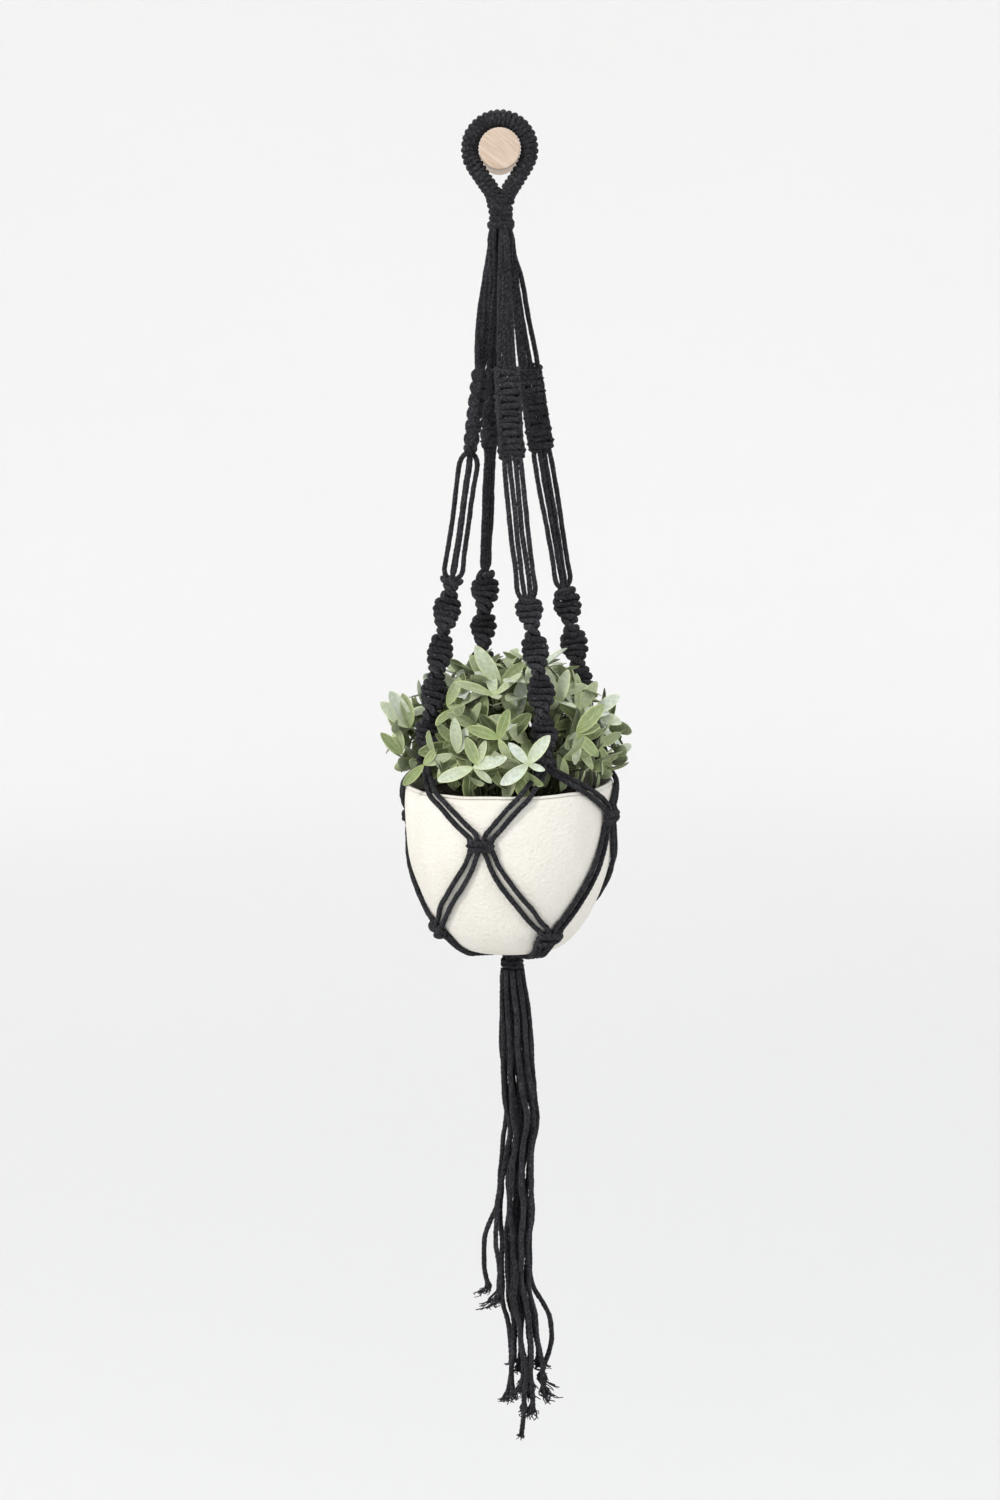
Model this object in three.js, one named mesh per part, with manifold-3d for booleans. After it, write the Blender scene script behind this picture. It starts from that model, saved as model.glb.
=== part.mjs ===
// A macrame plant hanger looped over a wooden wall peg, holding a round pot with a leafy plant.
// Millimetres, +Z up. The wall is the plane y = 0 and the room is on the -Y side.
// The origin is the centre of the peg's back face, which is fixed to the wall.
// Sixteen cords run all the way down: four arms of four cords, a net of knotted pairs round
// the pot, a binding under the pot and a tassel of sixteen free strands.
import * as THREE from "three";
import { mergeVertices } from "three/addons/utils/BufferGeometryUtils.js";
import Module from "manifold-3d";

const wasm = await Module();
wasm.setup();

// Driving dimensions.
const CORD = 4.5; // diameter of the cotton cord
const GAP = 0.3; // clearance between solids that touch on the real object
const END_GAP = 1.2; // the same at a cord's square-cut end, which meets its knot at a slant
const PEG_RADIUS = 16;
const PEG_LENGTH = 110;
const PEG_CHAMFER = 1;
const AXIS_Y = -100; // the planter hangs on this vertical line, clear of the wall
const LOOP_THICKNESS = 13;
const NECK = { radius: 9.3, top: -37, bottom: -62, wraps: 5 };
// The four arms: their directions, turned from the room side towards +X, how far they bow along X,
// where their spirals start, and the direction in plan of their width, from +X, in the square knots
// and in the loose cords below them.
const ARMS = [
  { side: "front", angle: 23, bow: -7.8, spiralTop: -344, knotFacing: 8, cordFacing: 4 },
  { side: "right", angle: 116, bow: 0, spiralTop: -343, knotFacing: 12, cordFacing: 30 },
  { side: "back", angle: 199, bow: 0, spiralTop: -331, knotFacing: 55, cordFacing: 62 },
  { side: "left", angle: 296, bow: 0, spiralTop: -330, knotFacing: 75, cordFacing: -8 },
];
const BOW_FOOT = -410; // a bowed arm is straight below this height
const ARM_TOP_RADIUS = 6.4;
const ARM_END = { radius: 74, z: -476 };
const KNOTTED = { top: -167, bottom: -237 }; // the flat stretch of square knots
const RIM = { radius: 83, z: -497 };
const BASE = { radius: 34, z: -632 };
// The knots of the net: each upper one joins its own arm to the arm before, and each lower one
// gathers the cords on their way under the pot.
const UPPER_KNOTS = [
  { angle: -15.5, z: -534 },
  { angle: 66, z: -520 },
  { angle: 157.5, z: -526 },
  { angle: 247.5, z: -528 },
];
const LOWER_KNOTS = [28.5, 116, 199, 292].map((angle) => ({ angle, z: -612 }));
const UPPER_KNOT_SIZE = { wide: 22, high: 15, thick: 9 };
const LOWER_KNOT_SIZE = { wide: 20, high: 17, thick: 10 };
const KNOT_SPREAD = 3.5; // degrees between a knot's middle and where a pair of cords enters it
const BINDING = { radius: 9.25, top: -639.6, bottom: -652, wraps: 2 };
const NECK_FLEX = 15; // how far the arms swing from the neck, in degrees
const TASSEL_FLEX = 20; // how far the tassel swings, in degrees

const rad = THREE.MathUtils.degToRad;
const lerp = THREE.MathUtils.lerp;

const cotton = new THREE.MeshStandardMaterial({ color: 0x242428, roughness: 0.95, metalness: 0 });
const stoneware = new THREE.MeshStandardMaterial({ color: 0xece7dc, roughness: 0.8, metalness: 0 });
const beech = new THREE.MeshStandardMaterial({ color: 0xd9bf9f, roughness: 0.6, metalness: 0 });
const earth = new THREE.MeshStandardMaterial({ color: 0x33281d, roughness: 1, metalness: 0 });
const leaf = new THREE.MeshStandardMaterial({ color: 0x8ea582, roughness: 0.7, metalness: 0 });

const planter = new THREE.Group();

function addMesh(name, geometry, material) {
  const mesh = new THREE.Mesh(geometry, material);
  mesh.name = name;
  planter.add(mesh);
}

// Solids that are joined or cut.
function solid(geometry) {
  const bare = geometry.clone();
  bare.deleteAttribute("normal");
  bare.deleteAttribute("uv");
  const merged = mergeVertices(bare, 1e-3);
  return new wasm.Manifold(
    new wasm.Mesh({
      numProp: 3,
      vertProperties: merged.attributes.position.array,
      triVerts: new Uint32Array(merged.index.array),
    }),
  );
}

function geometryOf(manifold) {
  const mesh = manifold.getMesh();
  const geometry = new THREE.BufferGeometry();
  geometry.setAttribute("position", new THREE.BufferAttribute(mesh.vertProperties, 3));
  geometry.setIndex(new THREE.BufferAttribute(mesh.triVerts, 1));
  geometry.computeVertexNormals();
  return geometry;
}

const joined = (solids) => solids.reduce((all, next) => all.add(next));

// A point at a radius, height and angle about the planter's axis, where angle 0 faces the room.
function around(radius, angle, z) {
  const a = rad(angle);
  return new THREE.Vector3(radius * Math.sin(a), AXIS_Y - radius * Math.cos(a), z);
}

function polygon(radius, sides) {
  const shape = new THREE.Shape();
  for (let i = 0; i < sides; i++) {
    const a = (2 * Math.PI * i) / sides;
    if (i === 0) shape.moveTo(radius, 0);
    else shape.lineTo(radius * Math.cos(a), radius * Math.sin(a));
  }
  return shape;
}

function tube(points, diameter, steps, sides = 6) {
  return new THREE.ExtrudeGeometry(polygon(diameter / 2, sides), {
    steps,
    bevelEnabled: false,
    extrudePath: new THREE.CatmullRomCurve3(points),
  });
}

// A body of revolution about the planter's axis, from profile points [radius, z], listed upwards.
function turned(points, segments) {
  const profile = points.map(([radius, z]) => new THREE.Vector2(radius, z));
  const geometry = new THREE.LatheGeometry(profile, segments);
  return geometry.rotateX(Math.PI / 2).translate(0, AXIS_Y, 0);
}

// The cone-shaped space that a flat end at z sweeps through as it tilts about its centre.
function tiltSpace(z, degrees, reach = 40) {
  const low = z - GAP;
  return solid(
    turned([[0, low], [reach, low - reach * Math.tan(rad(degrees))], [reach, z + reach], [0, z + reach]], 16),
  );
}

// The wall peg: a dowel lying along Y, with a chamfered front edge.
function wallPeg() {
  const profile = [
    [0, 0],
    [PEG_RADIUS, 0],
    [PEG_RADIUS, PEG_LENGTH - PEG_CHAMFER],
    [PEG_RADIUS - PEG_CHAMFER, PEG_LENGTH],
    [0, PEG_LENGTH],
  ].map(([radius, along]) => new THREE.Vector2(radius, along));
  return new THREE.LatheGeometry(profile, 40).rotateX(Math.PI);
}

// The loop: a teardrop round the peg, made as two halves that share their top and their foot.
function hangingLoop() {
  const middle = PEG_RADIUS + 0.5 + LOOP_THICKNESS / 2;
  const half = (side) => {
    const points = [new THREE.Vector3(-side * 1, AXIS_Y, middle)];
    for (let a = 15; a <= 120; a += 15) {
      const turn = rad(a);
      points.push(new THREE.Vector3(side * middle * Math.sin(turn), AXIS_Y, middle * Math.cos(turn)));
    }
    points.push(new THREE.Vector3(side * 11.5, AXIS_Y, -25));
    points.push(new THREE.Vector3(side * 6, AXIS_Y, NECK.top + 2));
    points.push(new THREE.Vector3(side * 5, AXIS_Y, NECK.top - 6));
    return solid(tube(points, LOOP_THICKNESS, 12, 8));
  };
  const foot = new THREE.BoxGeometry(80, 40, 20).translate(0, AXIS_Y, NECK.top + GAP - 10);
  return geometryOf(half(1).add(half(-1)).subtract(solid(foot)));
}

// A wrapped cord binding: a stack of rounded turns. drop lowers the rim of a coned top.
function binding({ radius, top, bottom, wraps }, drop = 0) {
  const shoulder = top - drop;
  const pitch = (shoulder - bottom) / wraps;
  const points = [[0, bottom]];
  for (let i = 0; i < wraps; i++) {
    const low = bottom + i * pitch;
    points.push([radius - 1, low], [radius, low + pitch * 0.3], [radius, low + pitch * 0.7]);
  }
  points.push([radius - 1, shoulder], [0, top]);
  return turned(points, 12);
}

// The line of an arm, from the neck to the fork above the rim.
function armPoint(arm, z) {
  const share = (z - NECK.bottom) / (ARM_END.z - NECK.bottom);
  const bowed = Math.max(0, Math.sin((Math.PI * (z - NECK.bottom)) / (BOW_FOOT - NECK.bottom)));
  const point = around(lerp(ARM_TOP_RADIUS, ARM_END.radius, share), arm.angle, z);
  return z > BOW_FOOT ? point.add(new THREE.Vector3(arm.bow * bowed, 0, 0)) : point;
}

// The four places of an arm's cords at a height: side by side along facing, or in a tight cluster.
function sideBySide(arm, facing, z, spacing) {
  const wide = new THREE.Vector3(Math.cos(rad(facing)), Math.sin(rad(facing)), 0);
  return [-1.5, -0.5, 0.5, 1.5].map((place) =>
    armPoint(arm, z).addScaledVector(wide, place * spacing),
  );
}

function clustered(arm, z) {
  const reach = CORD * 0.5; // clustered cords press into each other
  return [180, 90, 270, 0].map((turn) => {
    const a = rad(arm.angle + turn);
    return armPoint(arm, z).add(new THREE.Vector3(reach * Math.cos(a), reach * Math.sin(a), 0));
  });
}

// The cords of an arm through four-point stations, given from the top down.
function armCords(stations, steps) {
  const cords = stations[0].map((_, i) => tube(stations.map((places) => places[i]), CORD, steps));
  return joined(cords.map(solid));
}

// The straight cords from the neck to the square knots. space is cut away for the neck to flex.
function upperCords(arm, space) {
  const foot = sideBySide(arm, arm.knotFacing, KNOTTED.top + END_GAP, CORD * 0.86);
  return armCords([clustered(arm, NECK.bottom + 4), foot], 1).subtract(space);
}

// The loose cords from the square knots to the spiral knots.
function middleCords(arm) {
  const top = KNOTTED.bottom - END_GAP;
  const bottom = arm.spiralTop + END_GAP;
  const at = (share, spacing) => sideBySide(arm, arm.cordFacing, lerp(top, bottom, share), CORD * spacing);
  const stations = [at(0, 0.8), at(0.25, 1.1), at(0.75, 1.1), clustered(arm, bottom)];
  return armCords(stations, 3);
}

// Places a geometry made along +Z from the origin on an arm, from the height from to the height to.
function alongArm(geometry, arm, facing, from, to) {
  const start = armPoint(arm, from);
  const along = armPoint(arm, to).sub(start).normalize();
  const wide = new THREE.Vector3(Math.cos(rad(facing)), Math.sin(rad(facing)), 0);
  const deep = new THREE.Vector3().crossVectors(along, wide).normalize();
  wide.crossVectors(deep, along);
  const basis = new THREE.Matrix4().makeBasis(wide, deep, along).setPosition(start);
  return geometry.applyMatrix4(basis);
}

const armLength = (arm, from, to) => armPoint(arm, from).distanceTo(armPoint(arm, to));

// A flat band of square knots, with a scallop on each side for each knot.
function squareKnots(arm) {
  const knots = 7;
  const halfWidth = 8.2;
  const scallop = 2.4;
  const thickness = 6;
  const bevel = 1.2;
  const from = KNOTTED.top - GAP;
  const to = KNOTTED.bottom;
  const length = armLength(arm, from, to);
  const pitch = (length - 2 * bevel) / knots;
  const outline = new THREE.Shape();
  outline.moveTo(-halfWidth, bevel);
  outline.lineTo(halfWidth, bevel);
  for (let i = 0; i < knots; i++) {
    const low = bevel + i * pitch;
    outline.quadraticCurveTo(halfWidth + scallop, low + pitch / 2, halfWidth, low + pitch);
  }
  outline.lineTo(-halfWidth, bevel + knots * pitch);
  for (let i = knots; i > 0; i--) {
    const high = bevel + i * pitch;
    outline.quadraticCurveTo(-halfWidth - scallop, high - pitch / 2, -halfWidth, high - pitch);
  }
  const band = new THREE.ExtrudeGeometry(outline, {
    depth: thickness,
    curveSegments: 2,
    bevelThickness: bevel,
    bevelSize: bevel,
    bevelSegments: 1,
  });
  band.translate(0, 0, -thickness / 2).rotateX(Math.PI / 2);
  return alongArm(band, arm, arm.knotFacing, from, to);
}

// A twisted sennit of half knots, which swells at each half turn.
function spiralKnots(arm) {
  const swells = 4;
  const ringsPerSwell = 4;
  const waist = 5.8;
  const swellHeight = 4.4;
  const length = armLength(arm, arm.spiralTop, ARM_END.z);
  const profile = [new THREE.Vector2(0, 0)];
  for (let i = 0; i <= swells * ringsPerSwell; i++) {
    const share = i / (swells * ringsPerSwell);
    const swell = Math.sin(Math.PI * swells * share) ** 2;
    profile.push(new THREE.Vector2(waist + swellHeight * swell, share * length));
  }
  profile.push(new THREE.Vector2(0, length));
  const spiral = new THREE.LatheGeometry(profile, 8).rotateX(Math.PI / 2);
  return alongArm(spiral, arm, 0, arm.spiralTop, ARM_END.z);
}

// The pot's outer wall, from the rim down to the edge of its flat base.
const potWall = new THREE.SplineCurve(
  [
    [RIM.radius, RIM.z],
    [84.2, -519],
    [82, -552],
    [75.5, -577],
    [63, -606],
    [52, -621],
    [BASE.radius + 9, -629],
    [BASE.radius, BASE.z],
  ].map(([radius, z]) => new THREE.Vector2(radius, z)),
);
const wallSamples = potWall.getSpacedPoints(400);

// The wall's radius and outward slope at a height.
function wallAt(z) {
  const i = Math.max(1, wallSamples.findIndex((p) => p.y <= z));
  const [above, below] = [wallSamples[i - 1], wallSamples[i]];
  const share = (z - above.y) / (below.y - above.y);
  const run = below.clone().sub(above).normalize();
  return { radius: lerp(above.x, below.x, share), out: new THREE.Vector2(-run.y, run.x) };
}

// A point standing off the wall by a distance, at a height on the wall and an angle.
function offWall(z, angle, distance) {
  if (z > RIM.z) {
    const share = (z - ARM_END.z) / (RIM.z - ARM_END.z);
    return around(lerp(ARM_END.radius, RIM.radius + distance + 2, share), angle, z);
  }
  const { radius, out } = wallAt(z);
  return around(radius + out.x * distance, angle, z + out.y * distance);
}

// Two cords side by side over the pot, from one height and angle to another.
function cordPair(fromZ, fromAngle, toZ, toAngle) {
  const stand = CORD / 2 + 5 * GAP;
  const stations = [0, 0.15, 0.35, 0.55, 0.8, 1];
  const route = stations.map((share) =>
    offWall(lerp(fromZ, toZ, share), lerp(fromAngle, toAngle, share), stand),
  );
  const line = new THREE.CatmullRomCurve3(route);
  return joined(
    [-1, 1].map((side) => {
      const points = stations.map((share, i) => {
        const atEnd = share === 0 || share === 1;
        const { x, y } = route[i];
        const out = new THREE.Vector3(x, y - AXIS_Y, 0).normalize();
        const across = new THREE.Vector3().crossVectors(line.getTangent(i / 5), out).normalize();
        return route[i].clone().addScaledVector(across, (side * CORD * (atEnd ? 0.86 : 1.12)) / 2);
      });
      return solid(tube(points, CORD, 4));
    }),
  );
}

// A rounded knot lying on the pot, wide across and high up the wall.
function netKnot({ angle, z }, { wide, high, thick }, extra = 0) {
  const ball = new THREE.SphereGeometry(1, 10, 6);
  ball.scale(thick / 2 + extra, wide / 2 + extra, high / 2 + extra);
  const { out } = wallAt(z);
  ball.rotateY(Math.atan2(-out.y, out.x)).rotateZ(rad(angle - 90));
  const place = offWall(z, angle, thick / 2 + GAP);
  return ball.translate(place.x, place.y, place.z);
}

const before = (i) => (i + 3) % 4;
const after = (i) => (i + 1) % 4;
const stepTo = (from, to) => ((to - from + 540) % 360) - 180; // the shorter turn between two angles
const upperKnot = (i, extra) => netKnot(UPPER_KNOTS[i], UPPER_KNOT_SIZE, extra);
const lowerKnot = (i, extra) => netKnot(LOWER_KNOTS[i], LOWER_KNOT_SIZE, extra);

// The two pairs that an arm forks into, each going over the rim to the knot on its side.
function forkCords(i) {
  const arm = ARMS[i];
  const top = ARM_END.z - END_GAP;
  const stem = [armPoint(arm, top), armPoint(arm, top - 8)];
  const legs = [UPPER_KNOTS[i], UPPER_KNOTS[after(i)]].map((knot) => {
    const turn = stepTo(arm.angle, knot.angle);
    const end = arm.angle + turn - Math.sign(turn) * KNOT_SPREAD;
    return cordPair(top - 3, arm.angle, knot.z + 3, end);
  });
  const stemDiameter = 10;
  const fork = joined([solid(tube(stem, stemDiameter, 1)), ...legs]);
  return cutByKnots(fork, [upperKnot(i, GAP), upperKnot(after(i), GAP)]);
}

// The two pairs that leave an upper knot for the lower knots on either side.
function lowerCords(i) {
  const { angle, z: top } = UPPER_KNOTS[i];
  const legs = [LOWER_KNOTS[i], LOWER_KNOTS[before(i)]].map((knot) => {
    const turn = stepTo(angle, knot.angle);
    const side = Math.sign(turn);
    const start = angle + side * KNOT_SPREAD * 0.6;
    return cordPair(top - 4, start, knot.z + 1, angle + turn - 2 * side * KNOT_SPREAD);
  });
  const crotchRadius = 4.4;
  const crotch = new THREE.SphereGeometry(crotchRadius, 8, 6);
  const place = offWall(top - 11, angle, crotchRadius + 2 * GAP);
  crotch.translate(place.x, place.y, place.z);
  const knots = [upperKnot(i, GAP), lowerKnot(i, GAP), lowerKnot(before(i), GAP)];
  return cutByKnots(joined([solid(crotch), ...legs]), knots);
}

function cutByKnots(cords, knots) {
  return knots.reduce((rest, knot) => rest.subtract(solid(knot)), cords);
}

// Four cords side by side, from a lower knot round the pot's foot to the middle of its base.
function baseCords(i) {
  const width = 13;
  const thickness = 4.6;
  const stand = thickness / 2 + 2.5 * GAP;
  const knot = LOWER_KNOTS[i];
  const points = [knot.z - 2, -619, -625, -629].map((z) => {
    const { radius, out } = wallAt(z);
    return new THREE.Vector3(radius + out.x * stand, 0, z + out.y * stand);
  });
  points.push(new THREE.Vector3(BASE.radius - 3, 0, BASE.z - stand));
  points.push(new THREE.Vector3(9, 0, BASE.z - stand - 0.8));
  const section = new THREE.Shape();
  const round = thickness / 2;
  const straight = width / 2 - round;
  section.absarc(straight, 0, round, -Math.PI / 2, Math.PI / 2, false);
  section.absarc(-straight, 0, round, Math.PI / 2, (3 * Math.PI) / 2, false);
  const ribbon = new THREE.ExtrudeGeometry(section, {
    steps: 5,
    curveSegments: 2,
    bevelEnabled: false,
    extrudePath: new THREE.CatmullRomCurve3(points),
  });
  ribbon.rotateZ(rad(knot.angle - 90)).translate(0, AXIS_Y, 0);
  return cutByKnots(solid(ribbon), [lowerKnot(i, GAP)]);
}

// The pot: a thin-lipped bowl of even thickness with a flat base.
const WALL = 5;
const insideWall = [
  [RIM.radius - 2.6, RIM.z],
  [RIM.radius - WALL + 0.6, -505],
  [84.2 - WALL, -520],
  [82 - WALL, -551],
  [75.5 - WALL, -575],
  [63 - WALL, -602],
  [46, -617],
  [30, BASE.z + WALL + 2],
  [0, BASE.z + WALL + 2],
];

function pot() {
  const outside = potWall.getSpacedPoints(9).map((p) => [p.x, p.y]);
  return turned([[0, BASE.z], ...outside.reverse(), ...insideWall], 28);
}

// The growing medium fills the pot to just below its lip.
const SOIL_TOP = -508;

function soil() {
  const inside = insideWall.filter(([, z]) => z < SOIL_TOP - 2).reverse();
  const packed = inside.map(([radius, z], i) => [Math.max(0, radius - GAP * 2), z + (i < 2 ? GAP : GAP * 2)]);
  return turned([...packed, [84.2 - WALL - 1.4, SOIL_TOP], [0, SOIL_TOP + 3]], 28);
}

// The foliage as one soft mass: a low dome that parts round the arms and the forks.
function foliage() {
  const skirt = RIM.z + 3;
  const crown = new THREE.SphereGeometry(1, 18, 10).rotateX(Math.PI / 2);
  crown.scale(98, 95, 64).translate(0, AXIS_Y, -452);
  const below = new THREE.BoxGeometry(300, 300, 100).translate(0, AXIS_Y, skirt - 50);
  const stems = turned([[0, SOIL_TOP + 4], [58, SOIL_TOP + 4], [64, RIM.z + 8], [0, RIM.z + 8]], 16);
  let mass = solid(crown).subtract(solid(below)).add(solid(stems));
  for (const arm of ARMS) {
    const sleeve = [armPoint(arm, -372), armPoint(arm, ARM_END.z - 1)];
    const parting = new THREE.CylinderGeometry(11, 29, ARM_END.z + 4 - skirt, 8).rotateX(Math.PI / 2);
    const place = around(ARM_END.radius + 5, arm.angle, (ARM_END.z + 4 + skirt) / 2);
    parting.translate(place.x, place.y, place.z);
    mass = mass.subtract(solid(tube(sleeve, 25, 1, 8))).subtract(solid(parting));
  }
  return mass;
}

// The tassel. Each row is a strand: its ring and angle in the bundle, its length, how far its end
// flares outwards, and how far it bows outwards at which distance below the binding.
const STRANDS = [
  [0, 0, 369, 0, 200, 0],
  [4.6, 20, 345, 2, 150, 1.5],
  [4.6, 92, 358, 1, 120, 1.5],
  [4.6, 164, 338, 2, 200, 1.5],
  [4.6, 236, 357, 4, 100, 1.5],
  [4.6, 308, 349, 1, 180, 1.5],
  [8.7, 0, 366, 1, 120, 3],
  [8.7, 36, 352, 7, 160, 2],
  [8.7, 72, 343, 4, 303, 12],
  [8.7, 108, 336, 7, 90, 2],
  [8.7, 144, 350, 3, 210, 3],
  [8.7, 180, 332, 3, 150, 3],
  [8.7, 216, 360, 2, 230, 2],
  [8.7, 252, 262, 11, 222, 7],
  [8.7, 288, 268, 8, 215, 8],
  [8.7, 324, 387, 1, 140, 2],
];
const STRAND_DIAMETER = 4.2;
const BOW_REACH = 32;
const FLARE_LENGTH = 70;
const BUNDLE_TURN = 0.11; // degrees per millimetre downwards
// The bundle: distance below the binding, shift along X, and spread.
const BUNDLE = [
  [0, 0, 1],
  [41, 2.1, 1.3],
  [83, 3, 1.45],
  [126, 5.3, 1.35],
  [173, 0.5, 1.5],
  [222, -1, 1.4],
  [270, -0.5, 1.35],
  [300, 3, 1.3],
  [332, 5, 1.25],
  [360, 4, 1.2],
  [390, 2, 1.2],
];

function bundleAt(depth) {
  const i = Math.max(1, BUNDLE.findIndex(([d]) => d >= depth));
  const [above, below] = [BUNDLE[i - 1], BUNDLE[i]];
  const share = THREE.MathUtils.smoothstep(depth, above[0], below[0]);
  return [lerp(above[1], below[1], share), lerp(above[2], below[2], share)];
}

function tasselStrand([ring, angle, length, flare, bowDepth, bow]) {
  const points = 15;
  const start = GAP + (ring + STRAND_DIAMETER / 2) * Math.tan(rad(TASSEL_FLEX));
  return Array.from({ length: points }, (_, i) => {
    const depth = lerp(start, length, i / (points - 1));
    const [shift, spread] = bundleAt(depth);
    const bowed = bow * Math.exp(-(((depth - bowDepth) / BOW_REACH) ** 2));
    const flared = flare * THREE.MathUtils.smoothstep(depth, length - FLARE_LENGTH, length);
    const reach = ring * spread + bowed + flared;
    const turn = rad(angle + BUNDLE_TURN * depth);
    return new THREE.Vector3(
      shift + reach * Math.sin(turn),
      AXIS_Y - reach * Math.cos(turn),
      BINDING.bottom - depth,
    );
  });
}

// Assembly.
addMesh("wall_peg", wallPeg(), beech);
addMesh("hanging_loop", hangingLoop(), cotton);
addMesh("neck_binding", binding(NECK), cotton);

const neckSpace = tiltSpace(NECK.bottom, NECK_FLEX + 1);
ARMS.forEach((arm, i) => {
  const { side } = arm;
  addMesh(`${side}_arm_upper_cords`, geometryOf(upperCords(arm, neckSpace)), cotton);
  addMesh(`${side}_arm_square_knots`, squareKnots(arm), cotton);
  addMesh(`${side}_arm_middle_cords`, geometryOf(middleCords(arm)), cotton);
  addMesh(`${side}_arm_spiral_knots`, spiralKnots(arm), cotton);
  addMesh(`${side}_fork_cords`, geometryOf(forkCords(i)), cotton);
  addMesh(`${side}_net_knot`, upperKnot(i), cotton);
  addMesh(`${side}_net_cords`, geometryOf(lowerCords(i)), cotton);
  addMesh(`${side}_base_knot`, lowerKnot(i), cotton);
  addMesh(`${side}_base_cords`, geometryOf(baseCords(i)), cotton);
});

addMesh("pot", pot(), stoneware);
addMesh("soil", soil(), earth);
addMesh("foliage", geometryOf(foliage()), leaf);
addMesh("tassel_binding", binding(BINDING, BINDING.radius * Math.tan(rad(TASSEL_FLEX))), cotton);
STRANDS.forEach((row, i) => {
  const name = `tassel_strand_${String(i + 1).padStart(2, "0")}`;
  addMesh(name, tube(tasselStrand(row), STRAND_DIAMETER, 14, 8), cotton);
});

export default planter;
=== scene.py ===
"""A macrame plant hanger on a round wall peg, with a pitted cream pot, a leafy plant and a long tassel.

Metres, +Z up. The wall is y = 0 and the room is on the -Y side. Every cord is laid as it runs:
loop, neck binding, four knotted arms, net, base and tassel.
"""

import itertools
import math
import random
from typing import NamedTuple

import bpy
from mathutils import Matrix, Vector, noise


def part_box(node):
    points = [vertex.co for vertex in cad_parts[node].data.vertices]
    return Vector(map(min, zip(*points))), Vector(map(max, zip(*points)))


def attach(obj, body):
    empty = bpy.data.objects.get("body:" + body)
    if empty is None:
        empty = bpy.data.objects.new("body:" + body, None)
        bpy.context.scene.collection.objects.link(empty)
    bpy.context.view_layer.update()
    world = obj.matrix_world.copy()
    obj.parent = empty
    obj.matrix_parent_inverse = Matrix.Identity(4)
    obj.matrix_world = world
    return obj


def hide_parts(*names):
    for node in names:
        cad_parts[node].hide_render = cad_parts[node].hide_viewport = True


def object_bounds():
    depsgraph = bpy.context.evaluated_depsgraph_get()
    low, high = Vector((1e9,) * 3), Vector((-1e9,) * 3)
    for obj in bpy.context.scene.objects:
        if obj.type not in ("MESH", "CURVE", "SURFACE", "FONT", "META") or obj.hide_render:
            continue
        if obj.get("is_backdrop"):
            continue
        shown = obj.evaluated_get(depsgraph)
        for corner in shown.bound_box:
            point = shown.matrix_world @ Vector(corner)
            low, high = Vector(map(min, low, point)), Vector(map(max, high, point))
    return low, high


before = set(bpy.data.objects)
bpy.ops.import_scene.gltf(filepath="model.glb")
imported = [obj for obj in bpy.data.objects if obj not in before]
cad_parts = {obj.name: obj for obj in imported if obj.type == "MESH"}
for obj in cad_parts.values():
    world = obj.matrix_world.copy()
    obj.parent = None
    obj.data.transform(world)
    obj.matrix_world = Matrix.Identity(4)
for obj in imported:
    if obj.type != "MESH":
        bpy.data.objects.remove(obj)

CAD_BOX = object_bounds()

# Driving sizes, as in the CAD model, except that its second lower knot is at 116 degrees.
CORD = 0.0045
NECK_LOW, NECK_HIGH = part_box("neck_binding")
AXIS = Vector((0, (NECK_LOW.y + NECK_HIGH.y) / 2, 0))
ARM_TOP_RADIUS = 0.0064
ARM_END_RADIUS = 0.074
ARM_END = -0.476
BOW_FOOT = -0.410
KNOTTED_TOP = -0.167
UPPER_KNOT_PLACES = [(-15.5, -0.534), (66, -0.520), (157.5, -0.526), (247.5, -0.528)]
LOWER_KNOT_ANGLES = [28.5, 121, 199, 292]
LOWER_KNOT_Z = -0.612
POT_LOW, POT_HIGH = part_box("pot")
RIM_RADIUS = 0.083
POT_OUTLINE = [
    (RIM_RADIUS, POT_HIGH.z),
    (0.0842, -0.519),
    (0.082, -0.552),
    (0.0755, -0.577),
    (0.063, -0.606),
    (0.052, -0.621),
    (0.043, -0.629),
    (0.034, POT_LOW.z),
    (0, POT_LOW.z),
]


# ---------------------------------------------------------------- camera

CAMERA_DISTANCE = 2.4
CAMERA_HEIGHT = -0.1135
CAMERA_PITCH = -8.5
CAMERA_SHIFT = -0.0071
CAMERA_ROLL = -0.9  # the hanger leans a little in the picture
CAMERA_LENS = 72.8  # millimetres


def make_camera():
    data = bpy.data.cameras.new("camera")
    data.lens = CAMERA_LENS
    data.sensor_width = 36
    camera = bpy.data.objects.new("camera", data)
    bpy.context.scene.collection.objects.link(camera)
    camera.location = (CAMERA_SHIFT, AXIS.y - CAMERA_DISTANCE, CAMERA_HEIGHT)
    tilt = Matrix.Rotation(math.radians(90 + CAMERA_PITCH), 4, "X")
    roll = Matrix.Rotation(math.radians(CAMERA_ROLL), 4, "Z")
    camera.rotation_euler = (tilt @ roll).to_euler()
    bpy.context.scene.camera = camera


make_camera()


# ---------------------------------------------------------------- lines

def around(radius, angle, z):
    """A point about the planter's axis, where angle 0 faces the room and 90 is +X."""
    a = math.radians(angle)
    return Vector((AXIS.x + radius * math.sin(a), AXIS.y - radius * math.cos(a), z))


def mix(a, b, share):
    return a + (b - a) * share


def smooth(share):
    share = min(1, max(0, share))
    return share * share * (3 - 2 * share)


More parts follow.
